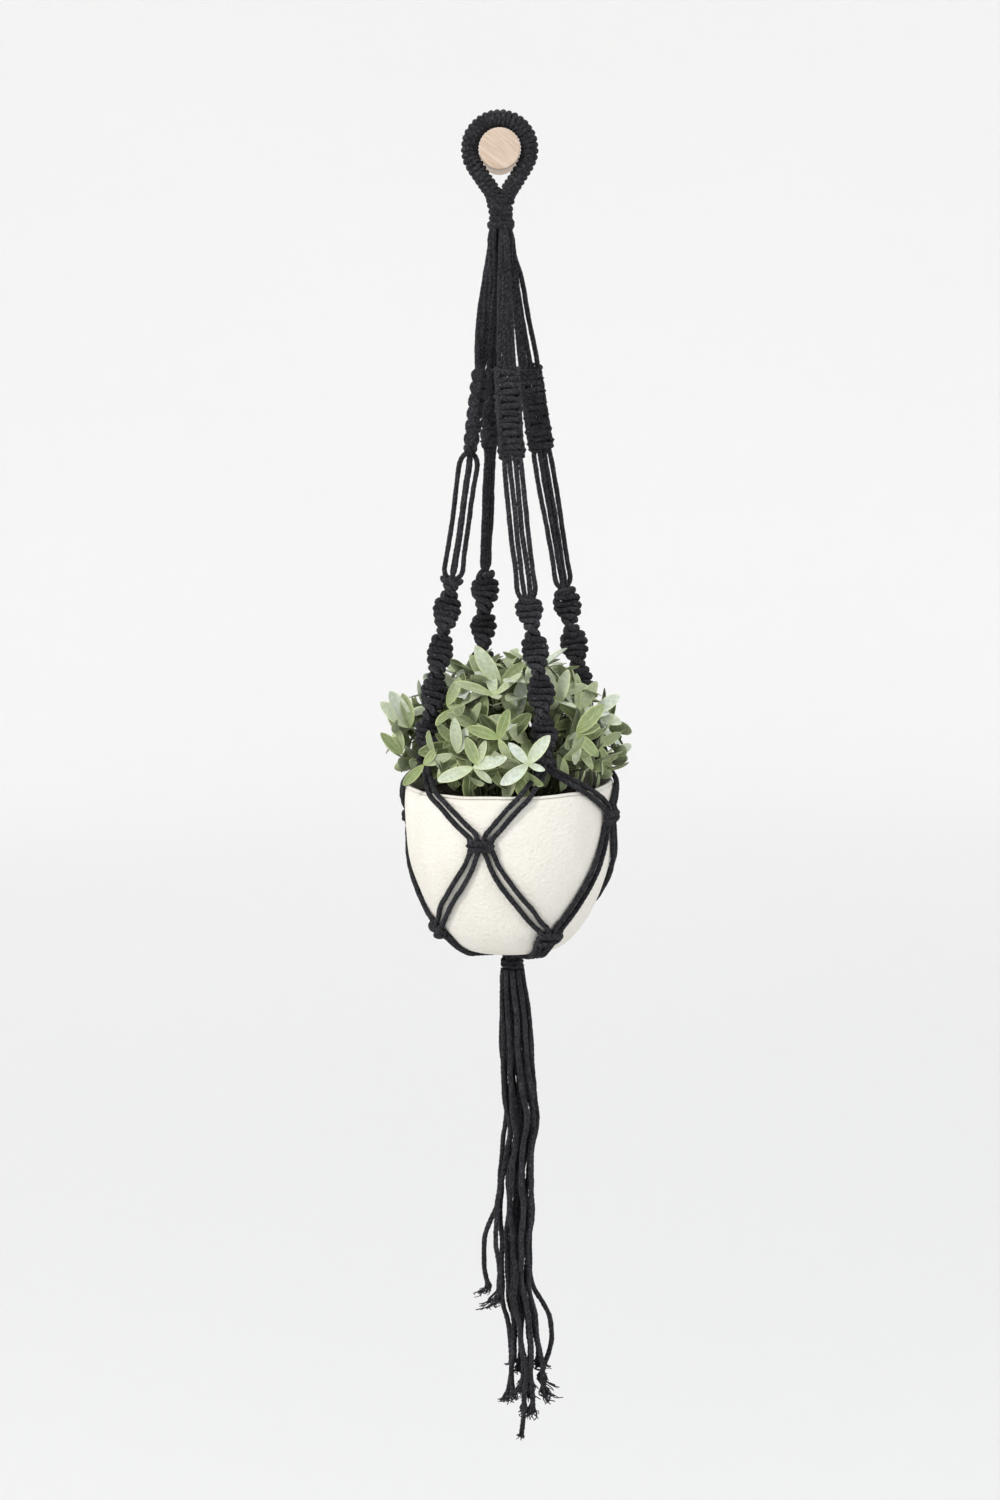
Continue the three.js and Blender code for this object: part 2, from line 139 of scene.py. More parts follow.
def spline(points, step):
    """A smooth line through the points, with about step between its own points."""
    p = [Vector(q) for q in points]
    p = [2 * p[0] - p[1]] + p + [2 * p[-1] - p[-2]]
    line = []
    for a, b, c, d in zip(p, p[1:], p[2:], p[3:]):
        count = max(1, round((c - b).length / step))
        for i in range(count):
            t = i / count
            cubic = (3 * b - a - 3 * c + d) * t**3
            line.append((2 * b + (c - a) * t + (2 * a - 5 * b + 4 * c - d) * t**2 + cubic) / 2)
    line.append(p[-2])
    return line


def drift(point):
    """Three smooth random numbers at a point. noise_vector would give new ones in each run."""
    return Vector([noise.noise(point + Vector((shift, 0, 0))) for shift in (9.3, 41.9, 77.1)])


def length_of(line):
    return sum((b - a).length for a, b in zip(line, line[1:]))


def turned_frames(line):
    """The tangent and two normals at each point of a line, without twist."""
    tangents = []
    for i in range(len(line)):
        ahead, behind = line[min(i + 1, len(line) - 1)], line[max(i - 1, 0)]
        tangents.append((ahead - behind).normalized())
    normal = tangents[0].orthogonal().normalized()
    frames = []
    for tangent in tangents:
        normal = (normal - tangent * normal.dot(tangent)).normalized()
        frames.append((tangent, normal, tangent.cross(normal)))
    return frames


# ---------------------------------------------------------------- meshes

class Mesh:
    """Points, faces, UVs and tints gathered for one piece."""

    def __init__(self, name):
        self.name = name
        self.points = []
        self.faces = []
        self.uvs = []
        self.tints = []

    def face(self, corners, uvs=None):
        self.faces.append(corners)
        self.uvs.extend(uvs or [(0, 0)] * len(corners))

    def build(self, material, body, slot, *nodes, tinted=False):
        data = bpy.data.meshes.new(self.name)
        data.from_pydata(self.points, [], self.faces)
        layer = data.uv_layers.new(name="UVMap")
        layer.data.foreach_set("uv", [value for uv in self.uvs for value in uv])
        if tinted:
            tint = data.attributes.new("tint", "FLOAT", "POINT")
            tint.data.foreach_set("value", self.tints)
        data.polygons.foreach_set("use_smooth", [True] * len(data.polygons))
        data.materials.append(material)
        piece = bpy.data.objects.new(self.name, data)
        bpy.context.scene.collection.objects.link(piece)
        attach(piece, body)
        if nodes:
            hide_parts(*nodes)
        return piece


class CordMesh(Mesh):
    """A piece made of lengths of three-ply cord."""

    PLIES = 3
    LAY = 0.0125  # the length of one full twist
    STEP = 0.0016
    SIDES = 12
    YARN_SIDES = 5
    FIBRE_WIDTH = 0.00007  # half the width of a stray fibre

    def __init__(self, name, fuzz=900):
        super().__init__(name)
        self.random = random.Random(name)
        self.fuzz = fuzz  # stray fibres for each metre

    def lay(self, points, radius, step=STEP, loose=1.0):
        """Lays one cord along a smooth line through the points. A loose cord sways more."""
        return self.sweep(spline(points, step), radius, loose)

    def sweep(self, line, radius, loose=1.0):
        """Lays one cord on a line. radius is one number, or a number for each point of the line."""
        radii = radius if isinstance(radius, list) else [radius] * len(line)
        along = 0
        rings = []
        phase = self.random.uniform(0, math.tau)
        for i, (point, (tangent, side, up)) in enumerate(zip(line, turned_frames(line))):
            if i:
                along += (point - line[i - 1]).length
            sway = drift(point * 130) * 0.00028 * loose
            swell = 1 + 0.09 * noise.noise(point * 210)
            twist = phase + math.tau * along / self.LAY
            rings.append(self.ring(point + sway, side, up, radii[i] * swell, twist, along))
            for _ in range(self.stray_count(line, i)):
                self.stray(point + sway, tangent, side, up, radii[i])
        self.skin(rings)
        return line

    def ring(self, centre, side, up, radius, twist, along):
        first = len(self.points)
        for k in range(self.SIDES):
            a = math.tau * k / self.SIDES
            lobe = abs(math.cos(self.PLIES * a / 2)) ** 0.7
            reach = radius * (0.89 + 0.11 * lobe)
            b = a + twist
            self.points.append(centre + side * (reach * math.cos(b)) + up * (reach * math.sin(b)))
        return first, along

    def skin(self, rings):
        n = self.SIDES
        for (a, la), (b, lb) in zip(rings, rings[1:]):
            for k in range(n):
                m = (k + 1) % n
                u0, u1 = k / n, (k + 1) / n
                uvs = [(u0, la * 100), (u1, la * 100), (u1, lb * 100), (u0, lb * 100)]
                self.face((a + k, a + m, b + m, b + k), uvs)
        for (first, _), forward in ((rings[0], False), (rings[-1], True)):
            corners = [first + k for k in range(n)]
            self.face(corners if forward else corners[::-1])

    def stray_count(self, line, i):
        """How many stray fibres stand off the stretch of line before point i."""
        if i == 0:
            return 0
        expected = self.fuzz * (line[i] - line[i - 1]).length
        return int(expected + self.random.random())

    def stray(self, centre, tangent, side, up, radius):
        """One stray fibre: a thin bent blade that stands off the cord."""
        rnd = self.random
        a = rnd.uniform(0, math.tau)
        out = side * math.cos(a) + up * math.sin(a)
        reach = 0.0005 + 0.0018 * rnd.random() ** 2.5
        lean = tangent * rnd.uniform(-1, 1) + out * rnd.uniform(0.3, 1)
        width = tangent.cross(out) * self.FIBRE_WIDTH
        root = centre + out * radius * 0.8
        middle = root + (out + lean * 0.3).normalized() * reach * 0.6
        tip = middle + lean.normalized() * reach * 0.6
        n = len(self.points)
        self.points += [root - width, root + width, middle - width, middle + width, tip]
        self.face((n, n + 1, n + 3, n + 2))
        self.face((n + 2, n + 3, n + 4))

    def fray(self, end, direction, lean, length, count, spread):
        """The opened end of a cord: a clump of loose yarns that lean one way."""
        rnd = self.random
        side = direction.orthogonal().normalized()
        up = direction.cross(side)
        for _ in range(count):
            a = rnd.uniform(0, math.tau)
            r = STRAND_DIAMETER / 2 * math.sqrt(rnd.random()) * 0.85
            out = side * math.cos(a) + up * math.sin(a)
            reach = length * rnd.uniform(0.4, 0.85)
            flare = out * reach * spread * rnd.uniform(0.2, 1.1)
            bend = lean * reach * rnd.uniform(0.6, 1.1)
            kink = (side * rnd.uniform(-1, 1) + up * rnd.uniform(-1, 1)) * reach * 0.3
            start = end + out * r - direction * 0.003
            points = [
                start,
                start + direction * (0.003 + reach * 0.3) + flare * 0.25 + bend * 0.15 + kink,
                start + direction * (0.003 + reach * 0.6) + flare * 0.65 + bend * 0.5 - kink,
                start + direction * (0.003 + reach * 0.8) + flare + bend + kink * 0.5,
            ]
            self.yarn(points, rnd.uniform(0.0005, 0.00085))

    def yarn(self, points, radius):
        """A thin tapering yarn."""
        line = spline(points, 0.0018)
        rings = []
        n = self.YARN_SIDES
        for i, (point, (_, side, up)) in enumerate(zip(line, turned_frames(line))):
            size = radius * (1 - 0.45 * i / (len(line) - 1))
            first = len(self.points)
            for k in range(n):
                a = math.tau * k / n
                self.points.append(point + side * (size * math.cos(a)) + up * (size * math.sin(a)))
            rings.append(first)
        for a, b in zip(rings, rings[1:]):
            for k in range(n):
                m = (k + 1) % n
                self.face((a + k, a + m, b + m, b + k))
        self.face([rings[0] + k for k in range(n)][::-1])
        self.face([rings[-1] + k for k in range(n)])


# ---------------------------------------------------------------- materials

class Nodes:
    """A node material, written as calls."""

    def __init__(self, name, roughness, **sockets):
        self.material = bpy.data.materials.new(name)
        self.material.use_nodes = True
        self.tree = self.material.node_tree
        self.shader = self.tree.nodes["Principled BSDF"]
        self.shader.inputs["Roughness"].default_value = roughness
        for socket, value in sockets.items():
            self.shader.inputs[socket.replace("_", " ")].default_value = value

    def put(self, socket, value):
        """Links a socket to another node's output, or sets its value."""
        if isinstance(value, bpy.types.NodeSocket):
            self.tree.links.new(value, socket)
        else:
            socket.default_value = value

    def add(self, kind, inputs=None, **settings):
        node = self.tree.nodes.new(kind)
        for key, value in settings.items():
            setattr(node, key, value)
        for socket, value in (inputs or {}).items():
            self.put(node.inputs[socket], value)
        return node

    def coordinates(self, kind="Object"):
        return self.add("ShaderNodeTexCoord").outputs[kind]

    def noise(self, vector, scale, detail=4, roughness=0.6):
        inputs = {"Vector": vector, "Scale": scale, "Detail": detail, "Roughness": roughness}
        return self.add("ShaderNodeTexNoise", inputs).outputs["Fac"]

    def ramp(self, value, *stops):
        node = self.add("ShaderNodeValToRGB", {"Fac": value})
        elements = node.color_ramp.elements
        while len(elements) < len(stops):
            elements.new(0.5)
        for element, (position, colour) in zip(elements, stops):
            element.position = position
            element.color = (*colour, 1)
        return node.outputs["Color"]

    def blend(self, share, a, b, mode="MIX"):
        node = self.add("ShaderNodeMix", data_type="RGBA", blend_type=mode)
        for index, value in ((0, share), (6, a), (7, b)):
            self.put(node.inputs[index], (*value, 1) if isinstance(value, tuple) else value)
        return node.outputs[2]

    def math(self, operation, a, b=0.0, clamp=False):
        node = self.add("ShaderNodeMath", operation=operation, use_clamp=clamp)
        for index, value in enumerate((a, b)):
            self.put(node.inputs[index], value)
        return node.outputs[0]

    def bump(self, height, strength, distance, normal=None):
        inputs = {"Height": height, "Strength": strength, "Distance": distance}
        if normal is not None:
            inputs["Normal"] = normal
        return self.add("ShaderNodeBump", inputs).outputs["Normal"]

    def finish(self, colour, normal=None):
        self.tree.links.new(colour, self.shader.inputs["Base Color"])
        if normal is not None:
            self.tree.links.new(normal, self.shader.inputs["Normal"])
        return self.material


def grey(level):
    return (level, level, level)


def cotton_material():
    """Charcoal cotton: matte fuzz, uneven dye, painted shade in the grooves between the plies and pale
    lint.
    """
    m = Nodes("charcoal_cotton", 1.0, Sheen_Weight=0.06, Sheen_Roughness=0.7, Specular_IOR_Level=0.03)
    place = m.coordinates()
    dye = m.ramp(m.noise(place, 60), (0.3, (0.0125, 0.0125, 0.0150)), (0.75, (0.0250, 0.0250, 0.0295)))
    for scale, dark, light in ((520, 0.3, 2.0), (1300, 0.35, 1.95)):
        mottle = m.ramp(m.noise(place, scale, 3), (0.34, grey(dark)), (0.66, grey(light)))
        dye = m.blend(1.0, dye, mottle, "MULTIPLY")
    # Painted shade: the colour is darkened along the three grooves between the plies, where shade
    # falls.
    around_cord = m.add("ShaderNodeSeparateXYZ", {"Vector": m.coordinates("UV")}).outputs["X"]
    groove_shade_mask = m.math("ABSOLUTE", m.math("COSINE", m.math("MULTIPLY", around_cord, math.pi * 3)))
    painted_groove_shade = m.ramp(groove_shade_mask, (0.0, grey(0.35)), (0.5, grey(1.0)))
    colour = m.blend(1.0, dye, painted_groove_shade, "MULTIPLY")
    lint = m.ramp(m.noise(place, 900, 0), (0.79, grey(0)), (0.83, grey(1)))
    colour = m.blend(m.math("MULTIPLY", lint, 0.5), colour, (0.28, 0.28, 0.29))
    normal = m.bump(m.noise(place, 600, 3), 1.0, 0.0009)
    normal = m.bump(m.noise(place, 2400, 2), 0.6, 0.0002, normal)
    return m.finish(colour, normal)


def stoneware_material():
    """Cream stoneware with a fine pebbled surface."""
    m = Nodes("cream_stoneware", 0.85, Specular_IOR_Level=0.25)
    place = m.coordinates()
    tone = m.ramp(m.noise(place, 26, 5), (0.3, (0.69, 0.665, 0.60)), (0.75, (0.75, 0.73, 0.68)))
    specks = m.ramp(m.noise(place, 520, 2), (0.64, grey(1)), (0.78, (0.84, 0.82, 0.77)))
    colour = m.blend(0.6, tone, specks, "MULTIPLY")
    pebbles = m.add("ShaderNodeTexVoronoi", {"Vector": place, "Scale": 380.0}).outputs["Distance"]
    normal = m.bump(pebbles, 0.7, 0.0006)
    normal = m.bump(m.noise(place, 260, 5), 0.6, 0.0014, normal)
    return m.finish(colour, normal)


def wood_material():
    """Pale pinkish birch with a grain that falls to the right."""
    m = Nodes("pale_birch", 0.6, Specular_IOR_Level=0.3)
    settings = {"Vector": m.coordinates(), "Rotation": (0, math.radians(38), 0), "Scale": (10, 8, 1)}
    place = m.add("ShaderNodeMapping", settings, vector_type="TEXTURE").outputs["Vector"]
    streaks = m.noise(place, 900, 4, 0.65)
    broad = m.noise(place, 260, 3)
    colour = m.ramp(
        streaks,
        (0.25, (0.42, 0.33, 0.25)),
        (0.5, (0.54, 0.44, 0.36)),
        (0.8, (0.62, 0.53, 0.45)),
    )
    warm = m.ramp(broad, (0.3, (0.86, 0.80, 0.75)), (0.7, (1.0, 1.0, 1.0)))
    colour = m.blend(1.0, colour, warm, "MULTIPLY")
    return m.finish(colour, m.bump(streaks, 0.3, 0.0002))


def leaf_material():
    """Sage leaves: a mottled pale bloom, a faint midrib and thin yellow-green edges; the darker tints
    also paint shade deep in the foliage.
    """
    m = Nodes("sage_leaf", 0.7, Specular_IOR_Level=0.2, Sheen_Weight=0.2, Sheen_Roughness=0.5)
    parts = m.add("ShaderNodeSeparateXYZ", {"Vector": m.coordinates("UV")}).outputs
    across, along = parts["X"], parts["Y"]
    tint = m.add("ShaderNodeAttribute", attribute_name="tint").outputs["Fac"]
    # The tint runs from dark olive to pale sage; its dark end also serves as painted shade for leaves
    # deep in the foliage or under others.
    green = m.ramp(
        tint,
        (0.0, (0.07, 0.09, 0.035)),
        (0.3, (0.21, 0.26, 0.115)),
        (0.6, (0.385, 0.43, 0.28)),
        (1.0, (0.57, 0.62, 0.585)),
    )
    patches = m.noise(m.coordinates(), 330, 4)
    bloom = m.ramp(patches, (0.35, (0.80, 0.83, 0.76)), (0.68, (1.15, 1.14, 1.16)))
    colour = m.blend(1.0, green, bloom, "MULTIPLY")
    from_middle = m.math("ABSOLUTE", m.math("SUBTRACT", m.math("MULTIPLY", across, 2.0), 1.0))
    edge = m.math("POWER", from_middle, 9.0)
    colour = m.blend(m.math("MULTIPLY", edge, 0.8), colour, (0.66, 0.72, 0.38))
    rib = m.math("SUBTRACT", 1.0, m.math("MULTIPLY", from_middle, 11.0), clamp=True)
    colour = m.blend(m.math("MULTIPLY", rib, 0.35), colour, (0.50, 0.58, 0.34))
    foot = m.math("POWER", m.math("SUBTRACT", 1.0, along, clamp=True), 3.0)
    colour = m.blend(m.math("MULTIPLY", foot, 0.5), colour, (0.36, 0.45, 0.17))
    return m.finish(colour, m.bump(m.noise(m.coordinates(), 900, 3), 0.3, 0.0003))


def stem_material():
    """Dark green stems, mottled with brown."""
    m = Nodes("green_stem", 0.7, Specular_IOR_Level=0.3)
    tone = m.ramp(m.noise(m.coordinates(), 220), (0.3, (0.05, 0.06, 0.025)), (0.7, (0.15, 0.17, 0.08)))
    return m.finish(tone, m.bump(m.noise(m.coordinates(), 900), 0.3, 0.0002))


def soil_material():
    """Dark crumbly potting medium."""
    m = Nodes("dark_medium", 0.95, Specular_IOR_Level=0.15)
    place = m.coordinates()
    tone = m.ramp(m.noise(place, 240, 5), (0.35, (0.008, 0.006, 0.004)), (0.7, (0.05, 0.034, 0.02)))
    return m.finish(tone, m.bump(m.noise(place, 420, 5), 0.9, 0.002))


COTTON = cotton_material()
STONEWARE = stoneware_material()
WOOD = wood_material()
LEAF = leaf_material()
STEM = stem_material()
SOIL = soil_material()


# ---------------------------------------------------------------- tassel, the free cords

STRANDS = [
    # ring, angle, length, flare of the end, depth of the bow, bow
    (0, 0, 0.369, 0, 0.200, 0),
    (0.0046, 20, 0.345, 0.002, 0.150, 0.0015),
    (0.0046, 92, 0.358, 0.001, 0.120, 0.0015),
    (0.0046, 164, 0.338, 0.002, 0.200, 0.0015),
    (0.0046, 236, 0.357, 0.004, 0.100, 0.0015),
    (0.0046, 308, 0.349, 0.001, 0.180, 0.0015),
    (0.0087, 0, 0.366, 0.001, 0.120, 0.003),
    (0.0087, 36, 0.352, 0.007, 0.160, 0.002),
    (0.0087, 72, 0.343, 0.004, 0.303, 0.012),
    (0.0087, 108, 0.336, 0.007, 0.090, 0.002),
    (0.0087, 144, 0.350, 0.003, 0.210, 0.003),
    (0.0087, 180, 0.332, 0.003, 0.150, 0.003),
    (0.0087, 216, 0.360, 0.002, 0.230, 0.002),
    (0.0087, 252, 0.262, 0.011, 0.222, 0.007),
    (0.0087, 288, 0.268, 0.008, 0.215, 0.008),
    (0.0087, 324, 0.387, 0.001, 0.140, 0.002),
]
STRAND_DIAMETER = 0.0042
STRAND_RADIUS = STRAND_DIAMETER / 2 * 1.08  # the soft cord stands a little proud of its measure
STRAND_RISE = 0.0011  # how far each strand reaches up into the binding
STRAND_STEPS = 34
BOW_REACH = 0.032
FLARE_LENGTH = 0.070
BUNDLE_TURN = 110  # degrees for each metre downwards
BUNDLE = [
    # depth, shift along X, spread
    (0, 0, 1),
    (0.041, 0.0021, 1.3),
    (0.083, 0.003, 1.45),
    (0.126, 0.0053, 1.35),
    (0.173, 0.0005, 1.5),
    (0.222, -0.001, 1.4),
    (0.270, -0.0005, 1.35),
    (0.300, 0.003, 1.3),
    (0.332, 0.005, 1.25),
    (0.360, 0.004, 1.2),
    (0.390, 0.002, 1.2),
]
BINDING_LOW, BINDING_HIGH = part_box("tassel_binding")
# Which way each strand's frayed end leans, and how long and how full it is.
FRAYS = [
    # lean along X, lean towards the room, length, yarns
    (0.1, 0.2, 0.011, 22),
    (-0.3, 0.3, 0.012, 24),
    (0.5, 0.2, 0.011, 20),
    (0.2, -0.4, 0.010, 18),
    (-0.4, -0.2, 0.011, 22),
    (-0.5, 0.3, 0.012, 24),
    (-0.2, 0.5, 0.012, 26),
    (0.6, 0.5, 0.014, 26),
    (0.9, 0.2, 0.018, 22),
    (0.7, -0.3, 0.013, 22),
    (0.2, -0.5, 0.011, 20),
    (-0.1, -0.6, 0.010, 18),
    (-0.4, -0.5, 0.011, 20),
    (-0.8, 0.1, 0.014, 30),
    (-0.9, 0.4, 0.015, 30),
    (-0.3, 0.3, 0.006, 26),
]


def bundle_at(depth):
    """The bundle's shift along X and its spread, at a depth below the binding."""
    for (d0, x0, s0), (d1, x1, s1) in zip(BUNDLE, BUNDLE[1:]):
        if depth <= d1:
            share = smooth((depth - d0) / (d1 - d0))
            return mix(x0, x1, share), mix(s0, s1, share)
    return BUNDLE[-1][1:]


def strand_point(row, depth):
    """Where a strand is at a depth below the binding, before it wanders."""
    ring, angle, length, flare, bow_depth, bow = row
    shift, spread = bundle_at(depth)
    bowed = bow * math.exp(-(((depth - bow_depth) / BOW_REACH) ** 2))
    flared = flare * smooth((depth - length + FLARE_LENGTH) / FLARE_LENGTH)
    gathered = mix(0.9, 1, smooth((depth + 0.001) / 0.010))
    reach = ring * spread * gathered + bowed + flared
    point = around(reach, angle + BUNDLE_TURN * depth, BINDING_LOW.z - depth)
    return point + Vector((shift, 0, 0))


def wander(depth, phases):
    """How far a strand strays sideways from its place in the bundle, more so lower down."""
    slow, quick, slow_y, quick_y = phases
    grow = smooth(depth / 0.12)
    x = 0.0013 * math.sin(depth / 0.0145 + slow) + 0.0006 * math.sin(depth / 0.0062 + quick)
    y = 0.0011 * math.sin(depth / 0.0170 + slow_y) + 0.0005 * math.sin(depth / 0.0070 + quick_y)
    return Vector((x, y, 0)) * grow


def make_tassel():
    for number, (row, fray_row) in enumerate(zip(STRANDS, FRAYS), 1):
        length = row[2]
        node = f"tassel_strand_{number:02d}"
        weave = CordMesh(node + "_cord", fuzz=700)
        phases = [weave.random.uniform(0, math.tau) for _ in range(4)]
        depths = [mix(-STRAND_RISE, length, i / STRAND_STEPS) for i in range(STRAND_STEPS + 1)]
        points = [strand_point(row, depth) + wander(depth, phases) for depth in depths]
        line = weave.sweep(spline(points, 0.002), STRAND_RADIUS)
        strand = weave.build(COTTON, "tassel", "cotton_cord", node)
        lean_x, lean_room, fray_length, yarns = fray_row
        brush = CordMesh(f"tassel_fray_{number:02d}")
        direction = (line[-1] - line[-6]).normalized()
        brush.fray(line[-1], direction, Vector((lean_x, -lean_room, 0)), fray_length, yarns, 0.75)
        fray = brush.build(COTTON, "tassel", "cotton_cord")
        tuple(line[0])
        length_of(line)


make_tassel()


# ---------------------------------------------------------------- loop and bindings

LOOP_MIDDLE = 0.023  # from the peg's axis to the middle of the loop's rope
LOOP_FOOT = -0.043
LOOP_ROUNDS = 43
FREE_CORD = 0.0022  # the radius of a cord that runs between knots
PACKED_CORD = 0.0021  # and of one that is pressed inside a knot or a binding, or under the pot
TURN_STEP = 0.0013  # the finer step of a cord that turns inside a knot
# The end of the neck's last round, tucked in at its right, and the lump of cord at each side.
NECK_TAIL = [
    (0.0070, -0.0270),
    (0.0108, -0.0300),
    (0.0118, -0.0335),
    (0.0092, -0.0362),
    (0.0045, -0.0370),
]
NECK_LUMP = [(0.0070, 62, -0.0555), (0.0089, 80, -0.0578), (0.0078, 98, -0.0602)]


def loop_centreline():
    """The teardrop line of the loop's core, from one foot over the top to the other."""
    right = [(0.0034, LOOP_FOOT), (0.0052, -0.0345), (0.0092, -0.0280), (0.0138, -0.0212)]
    points = list(right)
    for degrees in range(120, -121, -15):
        a = math.radians(degrees)
        points.append((LOOP_MIDDLE * math.sin(a), LOOP_MIDDLE * math.cos(a)))
    points += [(-x, z) for x, z in reversed(right)]
    return [Vector((x, AXIS.y, z)) for x, z in points]


def make_loop():
    """The loop: a core under close rounds of one covering cord, squeezed on the side of the peg."""
    coil_radius = 0.0048
    inner_radius, outer_radius = 0.0021, 0.0027
    core = spline(loop_centreline(), 0.001)
    frames = turned_frames(core)
    per_round = 20
    line, radii = [], []
    for i in range(LOOP_ROUNDS * per_round + 1):
        place = i / (LOOP_ROUNDS * per_round) * (len(core) - 1)
        k = min(int(place), len(core) - 2)
        here = core[k].lerp(core[k + 1], place - k)
        _, side, up = frames[k]
        a = math.tau * i / per_round
        out = side * math.cos(a) + up * math.sin(a)
        away = Vector((here.x, 0, here.z)).normalized()
        outer_share = (1 + out.dot(away)) / 2
        line.append(here + out * coil_radius)
        radii.append(mix(inner_radius, outer_radius, outer_share))
    weave = CordMesh("hanging_loop_hitches", fuzz=500)
    weave.sweep(line, radii, loose=0.7)
    weave.build(COTTON, "loop", "cotton_cord", "hanging_loop")
    heart = CordMesh("hanging_loop_core", fuzz=0)
    heart.sweep(core[::3], coil_radius)
    heart.build(COTTON, "loop", "cotton_cord")


def wrap_points(radius, low, high, rounds, seed, start=200):
    """The line of a cord wound round the planter's axis."""
    rnd = random.Random(seed)
    per_round = 24
    slant = [rnd.uniform(-0.0006, 0.0006) for _ in range(rounds + 1)]
    points = []
    for i in range(rounds * per_round + 1):
        turn = i / per_round
        k = min(rounds - 1, int(turn))
        lean = mix(slant[k], slant[k + 1], turn - k)
        height = mix(high, low, turn / rounds) + lean * math.sin(math.tau * turn)
        points.append(around(radius + lean * 0.7, turn * 360 + start, height))
    return points


def lay_core(weave, top, foot):
    """Seven straight cords inside a binding, whose ends are given as (radius, z)."""
    for k in range(7):
        weave.lay([around(radius, k * 360 / 7, z) for radius, z in (top, foot)], PACKED_CORD)


def make_neck_binding():
    """The neck: a wrapped shank over a thicker ring, round a core of seven cords."""
    weave = CordMesh("neck_wraps", fuzz=500)
    shank = wrap_points(0.0071, -0.0560, -0.0385, 4, "neck")
    weave.lay(shank, 0.0028, loose=1.8)
    ring = wrap_points(0.0081, NECK_LOW.z + 0.0022, -0.0567, 2, "ring", start=80)
    weave.lay(ring, 0.0024, loose=1.8)
    weave.lay([Vector((x, AXIS.y - 0.0035, z)) for x, z in NECK_TAIL], FREE_CORD)
    for side in (1, -1):
        weave.lay([around(reach, side * angle, z) for reach, angle, z in NECK_LUMP], FREE_CORD)
    lay_core(weave, (0.0042, NECK_HIGH.z + 0.002), (0.0042, NECK_LOW.z + 0.001))
    weave.build(COTTON, "loop", "cotton_cord", "neck_binding")


def make_tassel_binding():
    """Two wraps round a core of seven cords, whose feet close the gap above the strands."""
    weave = CordMesh("tassel_wraps", fuzz=500)
    low, high = BINDING_LOW.z + 0.0024, BINDING_HIGH.z - 0.0034
    weave.lay(wrap_points(0.0074, low, high, 2, "tassel"), 0.0023)
    lay_core(weave, (0.0044, BINDING_HIGH.z - 0.002), (0.005, BINDING_LOW.z - 0.001))
    weave.build(COTTON, "tassel_neck", "cotton_cord", "tassel_binding")


make_loop()
make_neck_binding()
make_tassel_binding()


# ---------------------------------------------------------------- arms

class Arm(NamedTuple):
    """One arm's line, with a place for each cord across it."""

    side: str
    angle: float  # its direction
    bow: float  # how far it bows along X
    spiral_top: float
    first_swell: float  # how far below its top the spiral first swells
    knot_facing: float
    knot_width: float  # half the width of its square knots
    knot_foot: float
    tops: tuple  # where each cord enters the square knots
    middle: tuple  # the loose middle cords: facing at the top and foot, and each one's place

    def at(self, z):
        """The middle of the arm at a height."""
        share = (z - NECK_LOW.z) / (ARM_END - NECK_LOW.z)
        along = min(1, max(0, (z - NECK_LOW.z) / (BOW_FOOT - NECK_LOW.z)))
        point = around(mix(ARM_TOP_RADIUS, ARM_END_RADIUS, share), self.angle, z)
        return point + Vector((self.bow * math.sin(math.pi * along), 0, 0))

    def point(self, z, facing, wide, deep):
        """A place beside the arm's line: wide along the facing direction, deep towards its front."""
        a = math.radians(facing)
        along = (self.at(z - 0.01) - self.at(z)).normalized()
        across = Vector((math.cos(a), math.sin(a), 0))
        front = along.cross(across).normalized()
        across = front.cross(along)
        return self.at(z) + across * wide + front * deep

    def clustered(self, z, place, reach):
        """One of the four places about the arm's middle where its cords are bundled."""
        a = math.radians(self.angle + [180, 90, 270, 0][place])
        return self.at(z) + Vector((math.cos(a), math.sin(a), 0)) * reach


ARMS = [
    Arm("front", 23, -0.0078, -0.344, 0.0085, 8, 0.0086, -0.2400, (-0.0060, -0.0021, 0.0019, 0.0058),
        (5, 4, [(-0.0068, 0), (-0.0020, 0.0006), (0.0024, -0.0004), (0.0066, 0)])),
    Arm("right", 116, -0.0014, -0.343, 0.0135, 12, 0.0086, -0.2350, (-0.0062, -0.0026, 0.0016, 0.0072),
        (16, 38, [(-0.0070, 0), (-0.0020, 0.0004), (0.0020, 0), (0.0070, 0)])),
    Arm("back", 199, 0, -0.331, 0.0145, 55, 0.0086, -0.2335, (-0.0060, -0.0020, 0.0020, 0.0060),
        (62, 66, [(-0.0064, 0), (-0.0021, 0), (0.0023, 0.0004), (0.0064, 0)])),
    Arm("left", 296, 0.0040, -0.330, 0.026, 75, 0.0080, -0.2355, (-0.0060, -0.0020, 0.0020, 0.0060),
        (-8, -8, [(-0.0068, 0), (-0.0006, -0.0030), (0.0014, 0.0022), (0.0068, 0)])),
]
NECK_RISE = 0.0035  # how far the arms' cords reach up inside the neck binding


def make_upper_cords(arm):
    weave = CordMesh(f"{arm.side}_arm_upper_cord_set")
    rnd = random.Random(arm.side)
    for place, wide in enumerate(arm.tops):
        inside = arm.clustered(NECK_LOW.z + NECK_RISE, place, 0.0018)
        squeezed = AXIS.lerp(inside, 0.72)
        squeezed.z = inside.z
        below = arm.clustered(NECK_LOW.z - 0.007, place, 0.0023)
        end = arm.point(KNOTTED_TOP - 0.004, arm.knot_facing, wide, 0)
        points = [squeezed, below]
        for share in (0.3, 0.6, 0.85):
            stray = Vector((rnd.uniform(-1, 1), rnd.uniform(-1, 1), 0)) * 0.0006
            facing = mix(arm.middle[0], arm.knot_facing, share**3)
            place_now = arm.point(mix(below.z, end.z, share), facing, wide * mix(0.5, 1, share), 0)
            points.append(place_now + stray)
        weave.lay(points + [end], FREE_CORD)
    weave.build(COTTON, "cradle", "cotton_cord", f"{arm.side}_arm_upper_cords")


